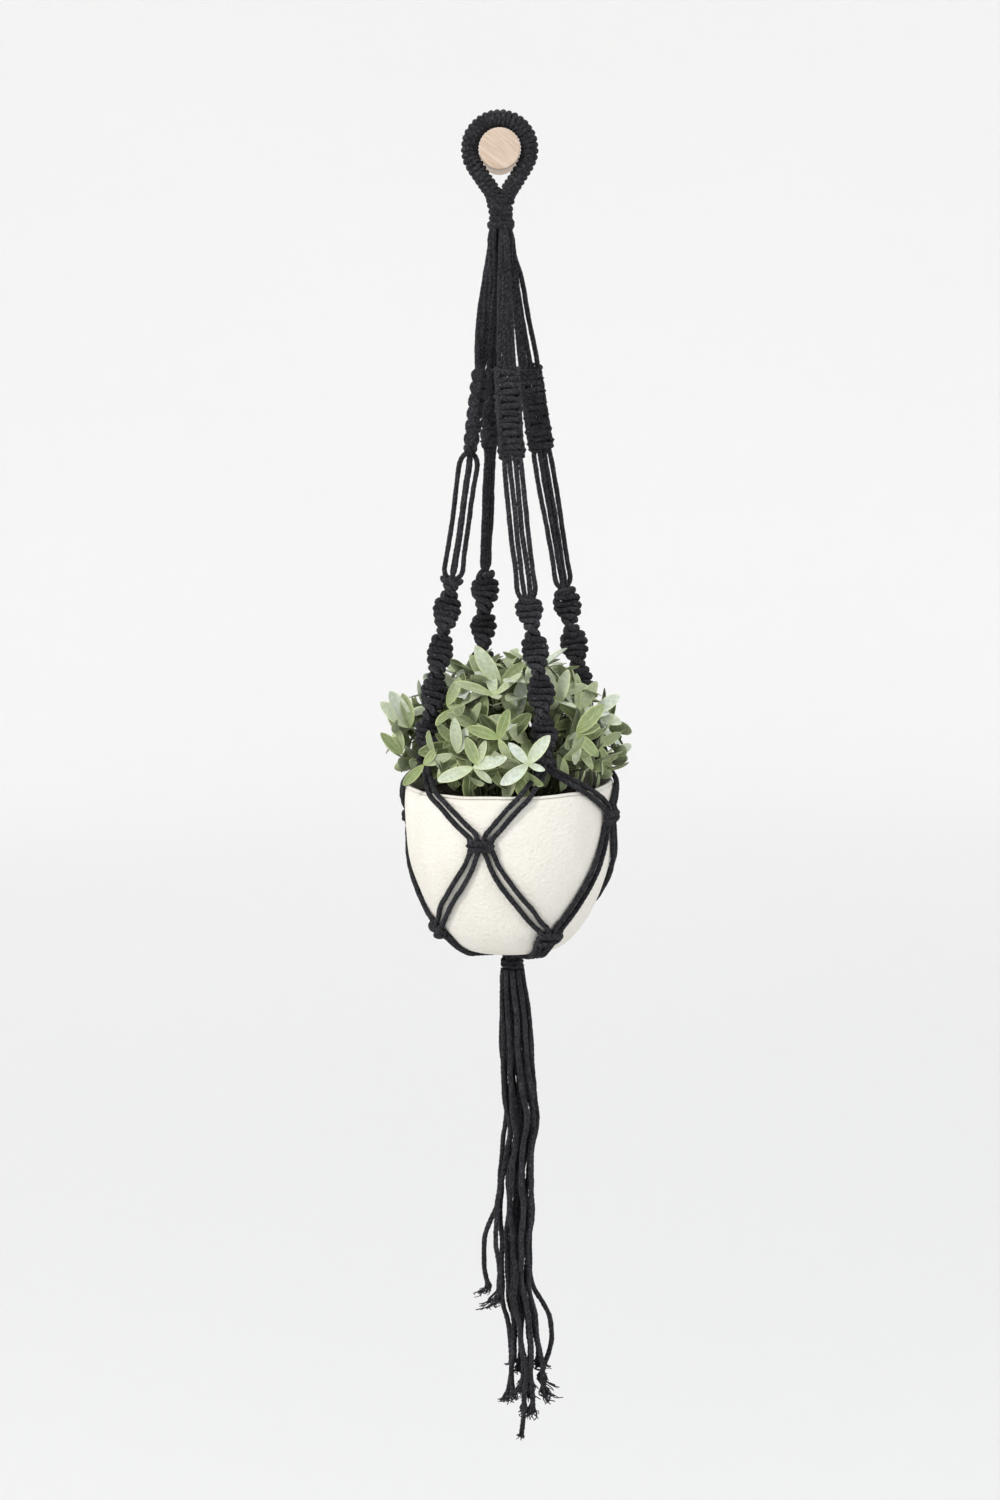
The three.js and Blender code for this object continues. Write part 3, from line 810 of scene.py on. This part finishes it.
def half_knots(count, pitch, half_width, depth, spiral, lump=0.05, dip=0.3, seed=0):
    """The two working cords of a row of half knots, as local points (wide, deep, along).

    In square knots each cord always crosses on its own face, and every second half knot bulges.
    In a spiral the crossings alternate, because the row itself turns.
    """
    lines = ([], [])
    per_knot = 10
    for i in range(count * per_knot + 1):
        t = i / per_knot
        phase = math.pi * t
        swing = math.sin(phase)
        crossing = swing if spiral else (1 + dip) * abs(swing) - dip
        uneven = drift(Vector((t * 0.8, seed * 7.3, 0.5)))
        bulge = 0 if spiral else lump * math.cos(phase)
        along = pitch * (t + 0.62 / math.tau * math.sin(math.tau * t) + 0.22 * uneven.y)
        for line, side in zip(lines, (-1, 1)):
            width = half_width * (1 + bulge + 0.16 * uneven.x)
            lift = -side * depth * crossing * (1 + 2 * bulge + 0.4 * uneven.z)
            line.append((side * width * math.cos(phase), lift, along))
    return lines


# A working cord's turn at the edge of a square knot: how far along, in knots, and how deep.
SIDE_ARC = ((0.3, 0.0006), (0.6, 0.0022), (1.0, 0.0028), (1.4, 0.0022), (1.75, 0.0006))
HALF_KNOTS = 13  # in each band of square knots


def make_square_knots(arm):
    """A flat band: two working cords cross over and under two fillers, and turn at its edges."""
    weave = CordMesh(f"{arm.side}_arm_square_knot_band")
    working, turn, filler = 0.0025, 0.0020, 0.0028  # the radii of its cords
    depth = 0.0034
    margin = 0.0024
    top, bottom = KNOTTED_TOP, arm.knot_foot
    length = (arm.at(bottom) - arm.at(top)).length
    fall = (top - bottom) / length
    pitch = (length - 2 * margin) / HALF_KNOTS

    def place(wide, deep, along):
        return arm.point(top - (along + margin) * fall, arm.knot_facing, wide, deep)

    for line in half_knots(HALF_KNOTS, pitch, arm.knot_width, depth, spiral=False, seed=arm.angle):
        weave.lay([place(*spot) for spot in line], working, TURN_STEP, loose=2.0)
    for k, side, face in itertools.product(range(HALF_KNOTS // 2), (-1, 1), (-1, 1)):
        wide = side * (arm.knot_width - 0.0007)
        points = [place(wide, face * deep, pitch * (2 * k + along)) for along, deep in SIDE_ARC]
        weave.lay(points, turn, 0.0011)
    for wide in (-0.0026, 0.0026):
        heights = (top + 0.001, mix(top, bottom, 0.5), bottom - 0.001)
        weave.lay([arm.point(z, arm.knot_facing, wide, 0) for z in heights], filler)
    weave.build(COTTON, "cradle", "cotton_cord", f"{arm.side}_arm_square_knots")


MIDDLE_STARTS = (-0.0058, -0.0021, 0.0021, 0.0058)  # where cords leave the square knots, across them


def make_middle_cords(arm):
    weave = CordMesh(f"{arm.side}_arm_middle_cord_set")
    top_facing, foot_facing, places = arm.middle
    top, bottom = arm.knot_foot, arm.spiral_top
    rnd = random.Random(arm.side + "middle")
    for place, (wide, deep) in enumerate(places):
        points = [arm.point(top + 0.003, arm.knot_facing, MIDDLE_STARTS[place], 0)]
        for share in (0.07, 0.3, 0.55, 0.8, 0.97):
            stray = rnd.uniform(-0.0004, 0.0004)
            facing = mix(top_facing, foot_facing, share)
            points.append(arm.point(mix(top, bottom, share), facing, wide + stray, deep + stray))
        points.append(arm.clustered(bottom - 0.004, place, 0.0024))
        weave.lay(points, FREE_CORD)
    weave.build(COTTON, "cradle", "cotton_cord", f"{arm.side}_arm_middle_cords")


HALF_TURN = 0.0325  # the length in which a spiral turns over once
SPIRAL_WIDTH = 0.0090  # half the width of a spiral's half knots
SPIRAL_PITCH = 0.0052
SPIRAL_MARGIN = 0.002


def make_spiral(arm):
    """A band of half knots that turns as it goes down, round two fillers."""
    weave = CordMesh(f"{arm.side}_arm_half_knot_spiral")
    working, filler = 0.0026, 0.0023  # the radii of its cords
    steps = 24
    top, bottom = arm.spiral_top, ARM_END
    length = (arm.at(bottom) - arm.at(top)).length
    fall = (top - bottom) / length
    count = round(length / SPIRAL_PITCH)
    pitch = (length - 2 * SPIRAL_MARGIN) / count

    def turned(wide, deep, along):
        a = math.pi * (along - arm.first_swell) / HALF_TURN
        across = wide * math.cos(a) - deep * math.sin(a)
        front = wide * math.sin(a) + deep * math.cos(a)
        return arm.point(top - (along + SPIRAL_MARGIN) * fall, 0, across, front)

    for line in half_knots(count, pitch, SPIRAL_WIDTH, 0.0035, spiral=True, seed=arm.angle + 1):
        weave.lay([turned(*spot) for spot in line], working, TURN_STEP, loose=2.2)
    for wide in (-0.0021, 0.0021):
        places = [length * i / steps - SPIRAL_MARGIN for i in range(steps + 1)]
        weave.lay([turned(wide, 0, along) for along in places], filler)
    weave.build(COTTON, "cradle", "cotton_cord", f"{arm.side}_arm_spiral_knots")


for each in ARMS:
    make_upper_cords(each)
    make_square_knots(each)
    make_middle_cords(each)
    make_spiral(each)


# ---------------------------------------------------------------- the pot's outline

class Outline:
    """The pot's outer profile, by distance along it from the rim."""

    def __init__(self, points):
        line = spline([(radius, 0, z) for radius, z in points], 0.001)
        self.samples = [(0.0, line[0])]
        for a, b in zip(line, line[1:]):
            self.samples.append((self.samples[-1][0] + (b - a).length, b))

    def at(self, distance):
        """Radius, height and the outward direction (radial, vertical) at a distance down the wall."""
        samples = self.samples
        i = 1
        while i < len(samples) - 1 and samples[i][0] < distance:
            i += 1
        (s0, a), (s1, b) = samples[i - 1], samples[i]
        point = a.lerp(b, (distance - s0) / (s1 - s0))
        low, high = samples[max(0, i - 4)][1], samples[min(len(samples) - 1, i + 3)][1]
        run = (high - low).normalized()
        return point.x, point.z, -run.z, run.x

    def distance_to(self, z):
        return next(s for s, p in self.samples if p.z <= z)


WALL = Outline(POT_OUTLINE)


def on_wall(angle, distance, off):
    """A point off the pot's wall, at an angle and a distance down from the rim."""
    radius, z, out, rise = WALL.at(max(0, distance))
    if distance < 0:
        z -= distance
    return around(radius + out * off, angle, z + rise * off)


# ---------------------------------------------------------------- net

class Knot:
    """A square knot that lies on the pot, tied by the four cords of two pairs."""

    LAYER = 0.0044  # the height of its middle off the wall

    def __init__(self, angle, z, half_width, pitch):
        self.angle = angle
        self.distance = WALL.distance_to(z)
        self.half_width = half_width
        self.pitch = pitch
        self.radius = WALL.at(self.distance)[0]

    def place(self, wide, deep, along):
        angle = self.angle + math.degrees(wide / self.radius)
        return on_wall(angle, self.distance + along, self.LAYER + deep)

    def corner(self, side, foot, outer):
        """Where a pair's outer or inner cord meets the knot, on one side, at its top or foot."""
        wide = side * (0.0090 if outer else 0.0040)
        along = (0.0058 if outer else 0.0092) * (1 if foot else -1)
        return self.place(wide, -0.0019, along)

    def working_cords(self):
        """Both working cords through the knot, in from the top corners and out at the foot."""
        lines = half_knots(
            2, self.pitch, self.half_width, 0.0026, spiral=False, lump=0.0, seed=self.angle
        )
        cords = []
        for side, line in zip((-1, 1), lines):
            middle = [self.place(wide, deep, along - self.pitch) for wide, deep, along in line]
            top, foot = self.corner(side, False, True), self.corner(side, True, True)
            cords.append([top] + middle[2:-2] + [foot])
        return cords

    def fillers(self):
        return [
            [
                self.corner(side, False, False),
                self.place(side * 0.0022, -0.0003, -self.pitch * 0.7),
                self.place(side * 0.0020, 0, 0),
                self.place(side * 0.0022, -0.0003, self.pitch * 0.7),
                self.corner(side, True, False),
            ]
            for side in (-1, 1)
        ]

    def cord(self, side, outer):
        """The outer or the inner cord through the knot, on one side."""
        return (self.working_cords() if outer else self.fillers())[0 if side < 0 else 1]


UPPER_KNOTS = [Knot(angle, z, 0.0090, 0.0048) for angle, z in UPPER_KNOT_PLACES]
LOWER_KNOTS = [Knot(angle, LOWER_KNOT_Z, 0.0090, 0.0056) for angle in LOWER_KNOT_ANGLES]


def run_on_wall(start, end, stations, lean=1.0):
    """Points of a taut cord over the pot's wall. A lean over 1 turns it later on its way down."""
    points = []
    for share in stations:
        straight = start.lerp(end, share**lean)
        z = mix(start.z, end.z, share)
        angle = math.degrees(math.atan2(straight.x - AXIS.x, AXIS.y - straight.y))
        if z > POT_HIGH.z:
            rise = (z - POT_HIGH.z) / (start.z - POT_HIGH.z)
            radius = mix(RIM_RADIUS + CORD * 0.62, math.hypot(start.x - AXIS.x, start.y - AXIS.y), rise)
            points.append(around(radius, angle, z))
        else:
            points.append(on_wall(angle, WALL.distance_to(z), CORD * 0.55))
    return points


def around_shift(point, degrees):
    """The point turned about the planter's axis."""
    turn = Matrix.Rotation(math.radians(degrees), 3, "Z")
    return AXIS + turn @ (point - AXIS)


def parted(line, gap, shares):
    """Moves a pair's cord aside on its run, most halfway, so that a slit shows beside it."""
    degrees = math.degrees(gap / RIM_RADIUS)
    return [around_shift(p, degrees * math.sin(math.pi * share)) for p, share in zip(line, shares)]


def make_fork(i):
    """Four cords leave the arm in two pairs, over the rim and down to the knots on either side."""
    arm = ARMS[i]
    weave = CordMesh(f"{arm.side}_fork_cord_pairs")
    for side, knot in ((-1, UPPER_KNOTS[i]), (1, UPPER_KNOTS[(i + 1) % 4])):
        for outer in (True, False):
            end = knot.corner(-side, False, outer)
            spacing = -0.0024 if outer else 0.0024
            top = arm.point(ARM_END + 0.004, arm.angle, side * 0.0022, spacing)
            low = arm.point(ARM_END - 0.003, arm.angle, side * (0.0042 + spacing), 0)
            line = run_on_wall(low, end, (0.18, 0.36, 0.52, 0.68, 0.84))
            aside = -side if outer else side
            spread = parted(line, aside * 0.0010, (0.3, 0.42, 0.5, 0.6, 0.8))
            inside = knot.cord(-side, outer)[1]
            weave.lay([top, low] + spread + [end, inside], FREE_CORD)
    weave.build(COTTON, "cradle", "cotton_cord", f"{arm.side}_fork_cords")


def make_knot(knot, name, node):
    weave = CordMesh(name)
    for line in knot.working_cords():
        weave.lay(line, 0.0026, TURN_STEP, loose=1.5)
    for line in knot.fillers():
        weave.lay(line, PACKED_CORD)
    weave.build(COTTON, "cradle", "cotton_cord", node)


def make_net_cords(i, name):
    """Two pairs run from an upper knot to the lower knots on either side."""
    knot = UPPER_KNOTS[i]
    weave = CordMesh(f"{name}_net_cord_pairs")
    for side, lower in ((1, LOWER_KNOTS[i]), (-1, LOWER_KNOTS[(i + 3) % 4])):
        for outer in (True, False):
            start = knot.corner(side, True, outer)
            end = lower.corner(-side, False, not outer)
            stations = (0.15, 0.35, 0.55, 0.75, 0.9)
            aside = side if outer else -side
            line = parted(run_on_wall(start, end, stations, lean=1.16), aside * 0.0008, stations)
            into = knot.cord(side, outer)[-2]
            out = lower.cord(-side, not outer)[1]
            weave.lay([into, start] + line + [end, out], FREE_CORD)
    weave.build(COTTON, "cradle", "cotton_cord", f"{name}_net_cords")


def make_base_cords(i, name):
    """Four cords gather under the pot and turn down into the tassel's binding."""
    knot = LOWER_KNOTS[i]
    weave = CordMesh(f"{name}_base_cord_set")
    edge = WALL.distance_to(POT_LOW.z + 0.0002)
    for side in (-1, 1):
        for outer in (True, False):
            start = knot.corner(side, True, outer)
            wide = side * (0.0062 if outer else 0.0021)
            points = [start]
            for share in (0.35, 0.7, 1):
                distance = mix(knot.distance + 0.010, edge + 0.004, share)
                radius = WALL.at(distance)[0]
                angle = knot.angle + math.degrees(wide * mix(1, 0.95, share) / radius)
                points.append(on_wall(angle, distance, CORD * 0.5))
            for radius, narrow, drop in ((0.018, 0.85, 0.0030), (0.0095, 0.62, 0.0040)):
                angle = knot.angle + math.degrees(wide * narrow / radius)
                points.append(around(radius, angle, POT_LOW.z - drop))
            turned_down = knot.angle + side * (34 if outer else 12)
            points.append(around(0.0058 if outer else 0.004, turned_down, BINDING_HIGH.z - 0.0010))
            points.append(around(0.0052 if outer else 0.0036, turned_down, BINDING_HIGH.z - 0.0045))
            weave.lay([knot.cord(side, outer)[-2]] + points, PACKED_CORD)
    weave.build(COTTON, "cradle", "cotton_cord", f"{name}_base_cords")


for number, each in enumerate(ARMS):
    make_fork(number)
    make_knot(UPPER_KNOTS[number], f"{each.side}_net_square_knot", f"{each.side}_net_knot")
    make_net_cords(number, each.side)
    make_knot(LOWER_KNOTS[number], f"{each.side}_base_square_knot", f"{each.side}_base_knot")
    make_base_cords(number, each.side)


# ---------------------------------------------------------------- pot and soil

WALL_THICKNESS = 0.005
SOIL_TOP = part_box("soil")[1].z - 0.003


def lathe(mesh, profile, segments, place, wobble=None, flip=False):
    """Turns a profile of (radius, height) about an axis, on which it starts and ends.

    place gives the point at a radius, an angle and a height, and wobble how far to move it.
    """
    rings = []
    for radius, height in profile:
        first = len(mesh.points)
        if radius < 1e-6:
            mesh.points.append(place(0, 0, height))
            rings.append((first, 1))
            continue
        for k in range(segments):
            p = place(radius, 360 * k / segments, height)
            mesh.points.append(p + wobble(p) if wobble else p)
        rings.append((first, segments))
    for (a, na), (b, nb) in zip(rings, rings[1:]):
        for k in range(segments):
            m = (k + 1) % segments
            if na == 1:
                corners = (a, b + m, b + k)
            elif nb == 1:
                corners = (a + k, a + m, b)
            else:
                corners = (a + k, a + m, b + m, b + k)
            mesh.face(corners[::-1] if flip else corners)


def make_pot():
    mesh = Mesh("pot_shell")
    outside = [WALL.at(WALL.samples[-1][0] * i / 64) for i in range(1, 64)]
    outer = [(radius, z) for radius, z, _, _ in outside if radius > 0.001]
    lip, edge = [], 0.0019
    for degrees in range(180, -1, -30):
        a = math.radians(degrees)
        lip.append((RIM_RADIUS - edge - edge * math.cos(a), POT_HIGH.z - edge + edge * math.sin(a)))
    inner = [(radius - WALL_THICKNESS + 0.0004, z) for radius, z in outer if z > SOIL_TOP - 0.008]
    bed = [(0, SOIL_TOP - 0.02), (0.06, SOIL_TOP - 0.02)]
    profile = bed + inner[::-1] + lip + outer + [(0, POT_LOW.z)]

    def wobble(p):
        d = p - AXIS
        out = Vector((d.x, d.y, 0)).normalized()
        coarse = noise.noise(p * 45) * 0.00045
        fine = noise.noise(p * 260) * 0.00016
        near_rim = smooth((p.z - POT_HIGH.z + 0.012) / 0.012)
        lift = noise.noise(out * 2.6) * 0.0011 * near_rim
        return out * (coarse + fine) + Vector((0, 0, lift))

    lathe(mesh, profile, 168, around, wobble)
    mesh.build(STONEWARE, "cradle", "pot_stoneware", "pot")


def make_soil():
    mesh = Mesh("soil_bed")
    edge = RIM_RADIUS - WALL_THICKNESS - 0.0012
    profile = [(0, SOIL_TOP - 0.03), (edge - 0.008, SOIL_TOP - 0.03), (edge, SOIL_TOP - 0.006)]
    profile += [(edge * (1 - i / 22), SOIL_TOP + 0.003 * (i / 22)) for i in range(22)]
    profile.append((0, SOIL_TOP + 0.003))

    def wobble(p):
        if p.z < SOIL_TOP - 0.001:
            return Vector((0, 0, 0))
        return Vector((0, 0, noise.noise(p * 160) * 0.0016 + noise.noise(p * 520) * 0.0009))

    lathe(mesh, profile, 120, around, wobble)
    mesh.build(SOIL, "cradle", "potting_medium", "soil")


make_pot()
make_soil()


# ---------------------------------------------------------------- foliage

class Leaves(Mesh):
    """Many thin curved leaves, each closed, with UVs across and along it."""

    ROWS = 9
    COLUMNS = 4
    THICKNESS = 0.0005

    def leaf(self, base, forward, up, length, width, droop, fold, tint):
        side = forward.cross(up).normalized()
        up = side.cross(forward).normalized()
        stations = [(1 - math.cos(math.pi * i / self.ROWS)) / 2 for i in range(self.ROWS + 1)]
        skins = []
        for lift in (1, -1):
            rows = []
            for t in stations:
                bend = droop * t
                spine = base + forward * (length * t * (1 - 0.12 * bend * bend))
                spine += up * (-length * 0.5 * droop * t * t)
                half = width / 2 * self.outline(t)
                row = []
                for j in range(self.COLUMNS + 1):
                    v = 2 * j / self.COLUMNS - 1
                    rise = fold * half * v * v + lift * self.THICKNESS / 2 * (1 - v * v)
                    row.append(spine + side * (half * v) + up * rise)
                rows.append(row)
            skins.append(rows)
        self.add_skins(skins, stations, tint)

    @staticmethod
    def outline(t):
        """A leaf's half width along it: blunt at both ends and broadest just past the middle."""
        return max(0.07, abs(math.sin(math.pi * t**1.1)) ** 0.55)

    def add_skins(self, skins, stations, tint):
        for rows, flip in zip(skins, (False, True)):
            first = len(self.points)
            for row in rows:
                self.points.extend(row)
                self.tints.extend([tint] * len(row))
            wide = self.COLUMNS + 1
            for i in range(self.ROWS):
                for j in range(self.COLUMNS):
                    a = first + i * wide + j
                    corners = (a, a + 1, a + 1 + wide, a + wide)
                    u0, u1 = j / self.COLUMNS, (j + 1) / self.COLUMNS
                    v0, v1 = stations[i], stations[i + 1]
                    uvs = [(u0, v0), (u1, v0), (u1, v1), (u0, v1)]
                    if flip:
                        corners, uvs = corners[::-1], uvs[::-1]
                    self.face(corners, uvs)


MOUND_FOOT = -0.483
MOUND_HEIGHT = 0.082
MOUND_RADIUS = 0.088
SIGHT_SLOPE = 0.13  # how far the camera's line of sight falls for each metre behind the rim's front
INNER_SPRIGS = 34
OUTER_SPRIGS = 68
GOLDEN_ANGLE = 137.508  # degrees between one sprig and the next, so that they spread evenly
STEM_RADIUS = 0.0010
# Sprigs seen from the front: the place of each tip as seen in the plane of the rim's front,
# its tint, and its leaves as (angle in view from +X, length).
FRONT_SPRIGS = [
    (0.0145, -0.471, 0.95, [(55, 0.028), (217, 0.027), (131, 0.023), (-20, 0.014)]),
    (-0.0280, -0.473, 0.60, [(198, 0.030), (254, 0.026), (16, 0.028), (-40, 0.019)]),
    (-0.0080, -0.451, 0.50, [(72, 0.026), (155, 0.026), (-63, 0.020)]),
    (-0.0670, -0.471, 0.55, [(208, 0.030), (50, 0.017), (21, 0.025), (224, 0.023)]),
    (-0.0250, -0.471, 0.60, [(111, 0.024), (71, 0.020)]),
    (0.0530, -0.448, 0.60, [(267, 0.025), (-48, 0.025), (21, 0.020), (47, 0.032)]),
    (-0.0060, -0.409, 0.72, [(122, 0.037), (153, 0.023), (45, 0.027), (-67, 0.017)]),
    (-0.0150, -0.408, 0.35, [(121, 0.028), (35, 0.025)]),
    (0.0670, -0.433, 0.70, [(36, 0.026), (-20, 0.024)]),
    (-0.0850, -0.463, 0.65, [(162, 0.020), (188, 0.020), (131, 0.025), (97, 0.020)]),
    (-0.0460, -0.481, 0.70, [(270, 0.014)]),
    (0.0680, -0.477, 0.40, [(-60, 0.025), (-50, 0.022), (25, 0.024)]),
    (-0.0400, -0.462, 1.00, [(94, 0.030), (70, 0.022)]),
    (-0.0480, -0.425, 0.85, [(66, 0.026), (-15, 0.022)]),
    (0.0400, -0.425, 0.45, [(80, 0.028), (-35, 0.025), (130, 0.022)]),
    (-0.0780, -0.442, 0.80, [(116, 0.034), (137, 0.031), (98, 0.028)]),
    (-0.0630, -0.428, 0.75, [(122, 0.030), (150, 0.026)]),
]


def clear_of_arms(point, margin):
    """True where a point of the plant keeps away from the arms."""
    if point.z < ARM_END - 0.02:
        return True
    return all((point - arm.at(max(point.z, ARM_END))).length > margin for arm in ARMS)


def has_room(point):
    """True in front of the wall, within the plant's own spread, and off the pot's rim."""
    reach = math.hypot(point.x - AXIS.x, point.y - AXIS.y)
    over_rim = point.z < POT_HIGH.z + 0.003 and reach > RIM_RADIUS - 0.008
    return point.y < -0.004 and reach < 0.106 and not over_rim


def front_tip(x, z):
    """The place on the mound that is seen at x and z in the plane of the rim's front."""
    height = min(1, max(0, (z - MOUND_FOOT) / MOUND_HEIGHT))
    reach = MOUND_RADIUS * math.sqrt(1 - height * height)
    y = AXIS.y - math.sqrt(max(0.0004, reach * reach - x * x))
    rim_front = AXIS.y - RIM_RADIUS
    return Vector((x, y, z - SIGHT_SLOPE * (y - rim_front)))


def add_leaf(leaves, base, forward, up, length, tint, rnd):
    """Adds a leaf, unless it would touch an arm or leave the plant's room."""
    for share in (0.35, 0.7, 1):
        point = base + forward * length * share
        if not (has_room(point) and clear_of_arms(point, 0.0125)):
            return
    width = length * rnd.uniform(0.31, 0.42)
    tone = min(1, max(0, tint + rnd.uniform(-0.38, 0.28)))
    leaves.leaf(base, forward, up, length, width, rnd.uniform(-0.1, 0.5), rnd.uniform(0.1, 0.45), tone)


def grow_front_sprig(leaves, stems, sprig, rnd):
    """A sprig whose tip and leaves are seen where the table puts them."""
    x, z, tint, angles = sprig
    tip = front_tip(x, z)
    for angle, length in angles:
        a = math.radians(angle)
        forward = Vector((math.cos(a), -rnd.uniform(0.05, 0.35), math.sin(a))).normalized()
        up = Vector((rnd.uniform(-0.4, 0.4), -1, rnd.uniform(0, 0.7)))
        add_leaf(leaves, tip, forward, up, length, tint, rnd)
    foot = AXIS.lerp(Vector((tip.x, tip.y, 0)), 0.4)
    foot.z = SOIL_TOP + 0.001
    knee = foot.lerp(tip, 0.55) + Vector((0, 0, 0.008))
    stems.yarn([foot, knee, tip], STEM_RADIUS)


def grow_sprig(leaves, stems, turn, polar, reach, tint, rnd):
    """A stem to a place on the mound, with a rosette of leaves at its tip and a pair below it."""
    a, p = math.radians(turn), math.radians(polar)
    out = Vector((math.sin(p) * math.sin(a), -math.sin(p) * math.cos(a), math.cos(p)))
    centre = Vector((AXIS.x, AXIS.y, MOUND_FOOT))
    tip = centre + Vector((out.x * MOUND_RADIUS, out.y * MOUND_RADIUS, out.z * MOUND_HEIGHT)) * reach
    if not (has_room(tip) and clear_of_arms(tip, 0.012)):
        return
    foot = around(0.010 + 0.030 * math.sin(p), turn + rnd.uniform(-14, 14), SOIL_TOP + 0.001)
    knee = foot.lerp(tip, 0.55) + Vector((0, 0, 0.010 + 0.012 * math.sin(p)))
    stems.yarn([foot, knee, tip], STEM_RADIUS)
    direction = (tip - knee).normalized()
    side = direction.orthogonal().normalized()
    count = rnd.choice((4, 4, 5, 6))
    twist = rnd.uniform(0, 360)
    for k in range(count + 2):
        low = k >= count
        turn_by = twist + (k * 180 if low else k * 360 / count) + rnd.uniform(-14, 14)
        outward = Matrix.Rotation(math.radians(turn_by), 3, direction) @ side
        forward = (direction * rnd.uniform(0.35, 0.9) + outward).normalized()
        base = tip.lerp(knee, 0.45) if low else tip
        length = rnd.uniform(0.024, 0.034)
        # The pair below the rosette gets a darker tint, as painted shade under it.
        add_leaf(leaves, base, forward, direction, length, tint - 0.15 * low, rnd)


def make_foliage():
    leaves = Leaves("sage_leaves")
    stems = CordMesh("plant_stems", fuzz=0)
    rnd = random.Random("sage")
    for sprig in FRONT_SPRIGS:
        grow_front_sprig(leaves, stems, sprig, rnd)
    for number in range(OUTER_SPRIGS):
        share = (number + 0.5) / OUTER_SPRIGS
        turn, polar = number * GOLDEN_ANGLE, mix(4, 94, share**0.6)
        facing = max(0, math.cos(math.radians(turn)))
        behind_front = 0.14 * facing * smooth((polar - 35) / 20)
        # Sprigs low on the front of the mound sit back behind the front sprigs; their darker tint is
        # painted shade.
        tint = rnd.uniform(0.35, 0.95) - 0.3 * facing * smooth((polar - 45) / 25)
        grow_sprig(leaves, stems, turn, polar, rnd.uniform(0.86, 0.98) - behind_front, tint, rnd)
    # The inner sprigs sit deep in the mound, and their dark tints are painted shade.
    for number in range(INNER_SPRIGS):
        share = (number + 0.5) / INNER_SPRIGS
        turn, polar = number * GOLDEN_ANGLE + 60, mix(10, 85, share**0.6)
        grow_sprig(leaves, stems, turn, polar, rnd.uniform(0.55, 0.72), rnd.uniform(0.0, 0.4), rnd)
    leaves.build(LEAF, "cradle", "leaves", "foliage", tinted=True)
    stems.build(STEM, "cradle", "leaves")


make_foliage()


# ---------------------------------------------------------------- peg

def make_peg():
    """A plain dowel along Y with a rounded front edge."""
    low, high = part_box("wall_peg")
    radius = (high.x - low.x) / 2
    edge = 0.0012
    profile = [(0, low.y)]
    for i in range(10):
        profile.append((radius * (i + 0.5) / 11, low.y))
    for degrees in range(90, -1, -15):
        a = math.radians(degrees)
        profile.append((radius - edge + edge * math.cos(a), low.y + edge - edge * math.sin(a)))
    profile += [(radius, mix(low.y + edge, high.y, i / 30)) for i in range(1, 31)]
    profile += [(0, high.y)]

    def place(reach, degrees, y):
        a = math.radians(degrees)
        return Vector((reach * math.cos(a), y, reach * math.sin(a)))

    mesh = Mesh("birch_peg")
    lathe(mesh, profile, 96, place, flip=True)
    mesh.build(WOOD, "peg", "peg_wood", "wall_peg")


make_peg()


# ---------------------------------------------------------------- room and light

def make_room():
    """A pale round floor that curves up into a far wall all round, painted darker near the middle and
    paler further out to even out the light.
    """
    floor, reach, bend, top = CAD_BOX[0].z - 0.7, 6.5, 2.5, 4.5
    profile = [(0.0, floor)] + [(reach * i / 6, floor) for i in range(1, 6)]
    for degrees in range(0, 91, 10):
        a = math.radians(degrees)
        profile.append((reach + bend * math.sin(a), floor + bend - bend * math.cos(a)))
    profile.append((reach + bend, top))
    segments = 72
    points, faces = [], []
    for reach, z in profile:
        for k in range(segments):
            a = math.tau * k / segments
            points.append((reach * math.cos(a), reach * math.sin(a), z))
    for i in range(len(profile) - 1):
        for k in range(segments):
            m = (k + 1) % segments
            a, b = i * segments, (i + 1) * segments
            faces.append((a + k, b + k, b + m, a + m))
    data = bpy.data.meshes.new("studio_floor")
    data.from_pydata(points, [], faces)
    data.polygons.foreach_set("use_smooth", [True] * len(data.polygons))
    m = Nodes("pale_floor", 1.0, Specular_IOR_Level=0.0)
    place = {"Vector": m.coordinates()}
    # Painted shade and light: the floor is darker near the middle, where the lamps light it most, and
    # paler further out, where their light falls off.
    away = m.add("ShaderNodeVectorMath", place, operation="LENGTH").outputs["Value"]
    share = m.math("ADD", m.math("MULTIPLY", away, 0.17), -0.27, clamp=True)
    colour = m.ramp(share, (0.0, (0.708, 0.711, 0.711)), (1.0, (0.886, 0.884, 0.880)))
    clouds = m.ramp(m.noise(m.coordinates(), 0.4, 1), (0.3, grey(0.985)), (0.7, grey(1.0)))
    data.materials.append(m.finish(m.blend(1.0, colour, clouds, "MULTIPLY")))
    room = bpy.data.objects.new("studio_floor", data)
    bpy.context.scene.collection.objects.link(room)
    room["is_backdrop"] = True


def add_light(name, place, size, power, colour):
    data = bpy.data.lights.new(name, "AREA")
    data.shape = "DISK"
    data.size = size
    data.energy = power
    data.color = colour
    light = bpy.data.objects.new(name, data)
    bpy.context.scene.collection.objects.link(light)
    light.location = place
    target = Vector((0, AXIS.y, -0.5))
    light.rotation_euler = (target - Vector(place)).to_track_quat("-Z", "Y").to_euler()


def make_light():
    world = bpy.data.worlds.new("studio")
    world.use_nodes = True
    background = world.node_tree.nodes["Background"]
    background.inputs["Color"].default_value = (0.985, 0.99, 1.0, 1)
    background.inputs["Strength"].default_value = 1.09
    bpy.context.scene.world = world
    add_light("key", (-3.0, -3.2, 2.2), 0.9, 150, (1.0, 0.98, 0.95))
    add_light("fill", (3.2, -2.2, 0.6), 2.4, 28, (0.95, 0.97, 1.0))
    bpy.context.scene.view_settings.view_transform = "Standard"


make_room()
make_light()

boxes = {"cad": CAD_BOX, "visual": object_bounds()}
{name: [list(corner) for corner in box] for name, box in boxes.items()}
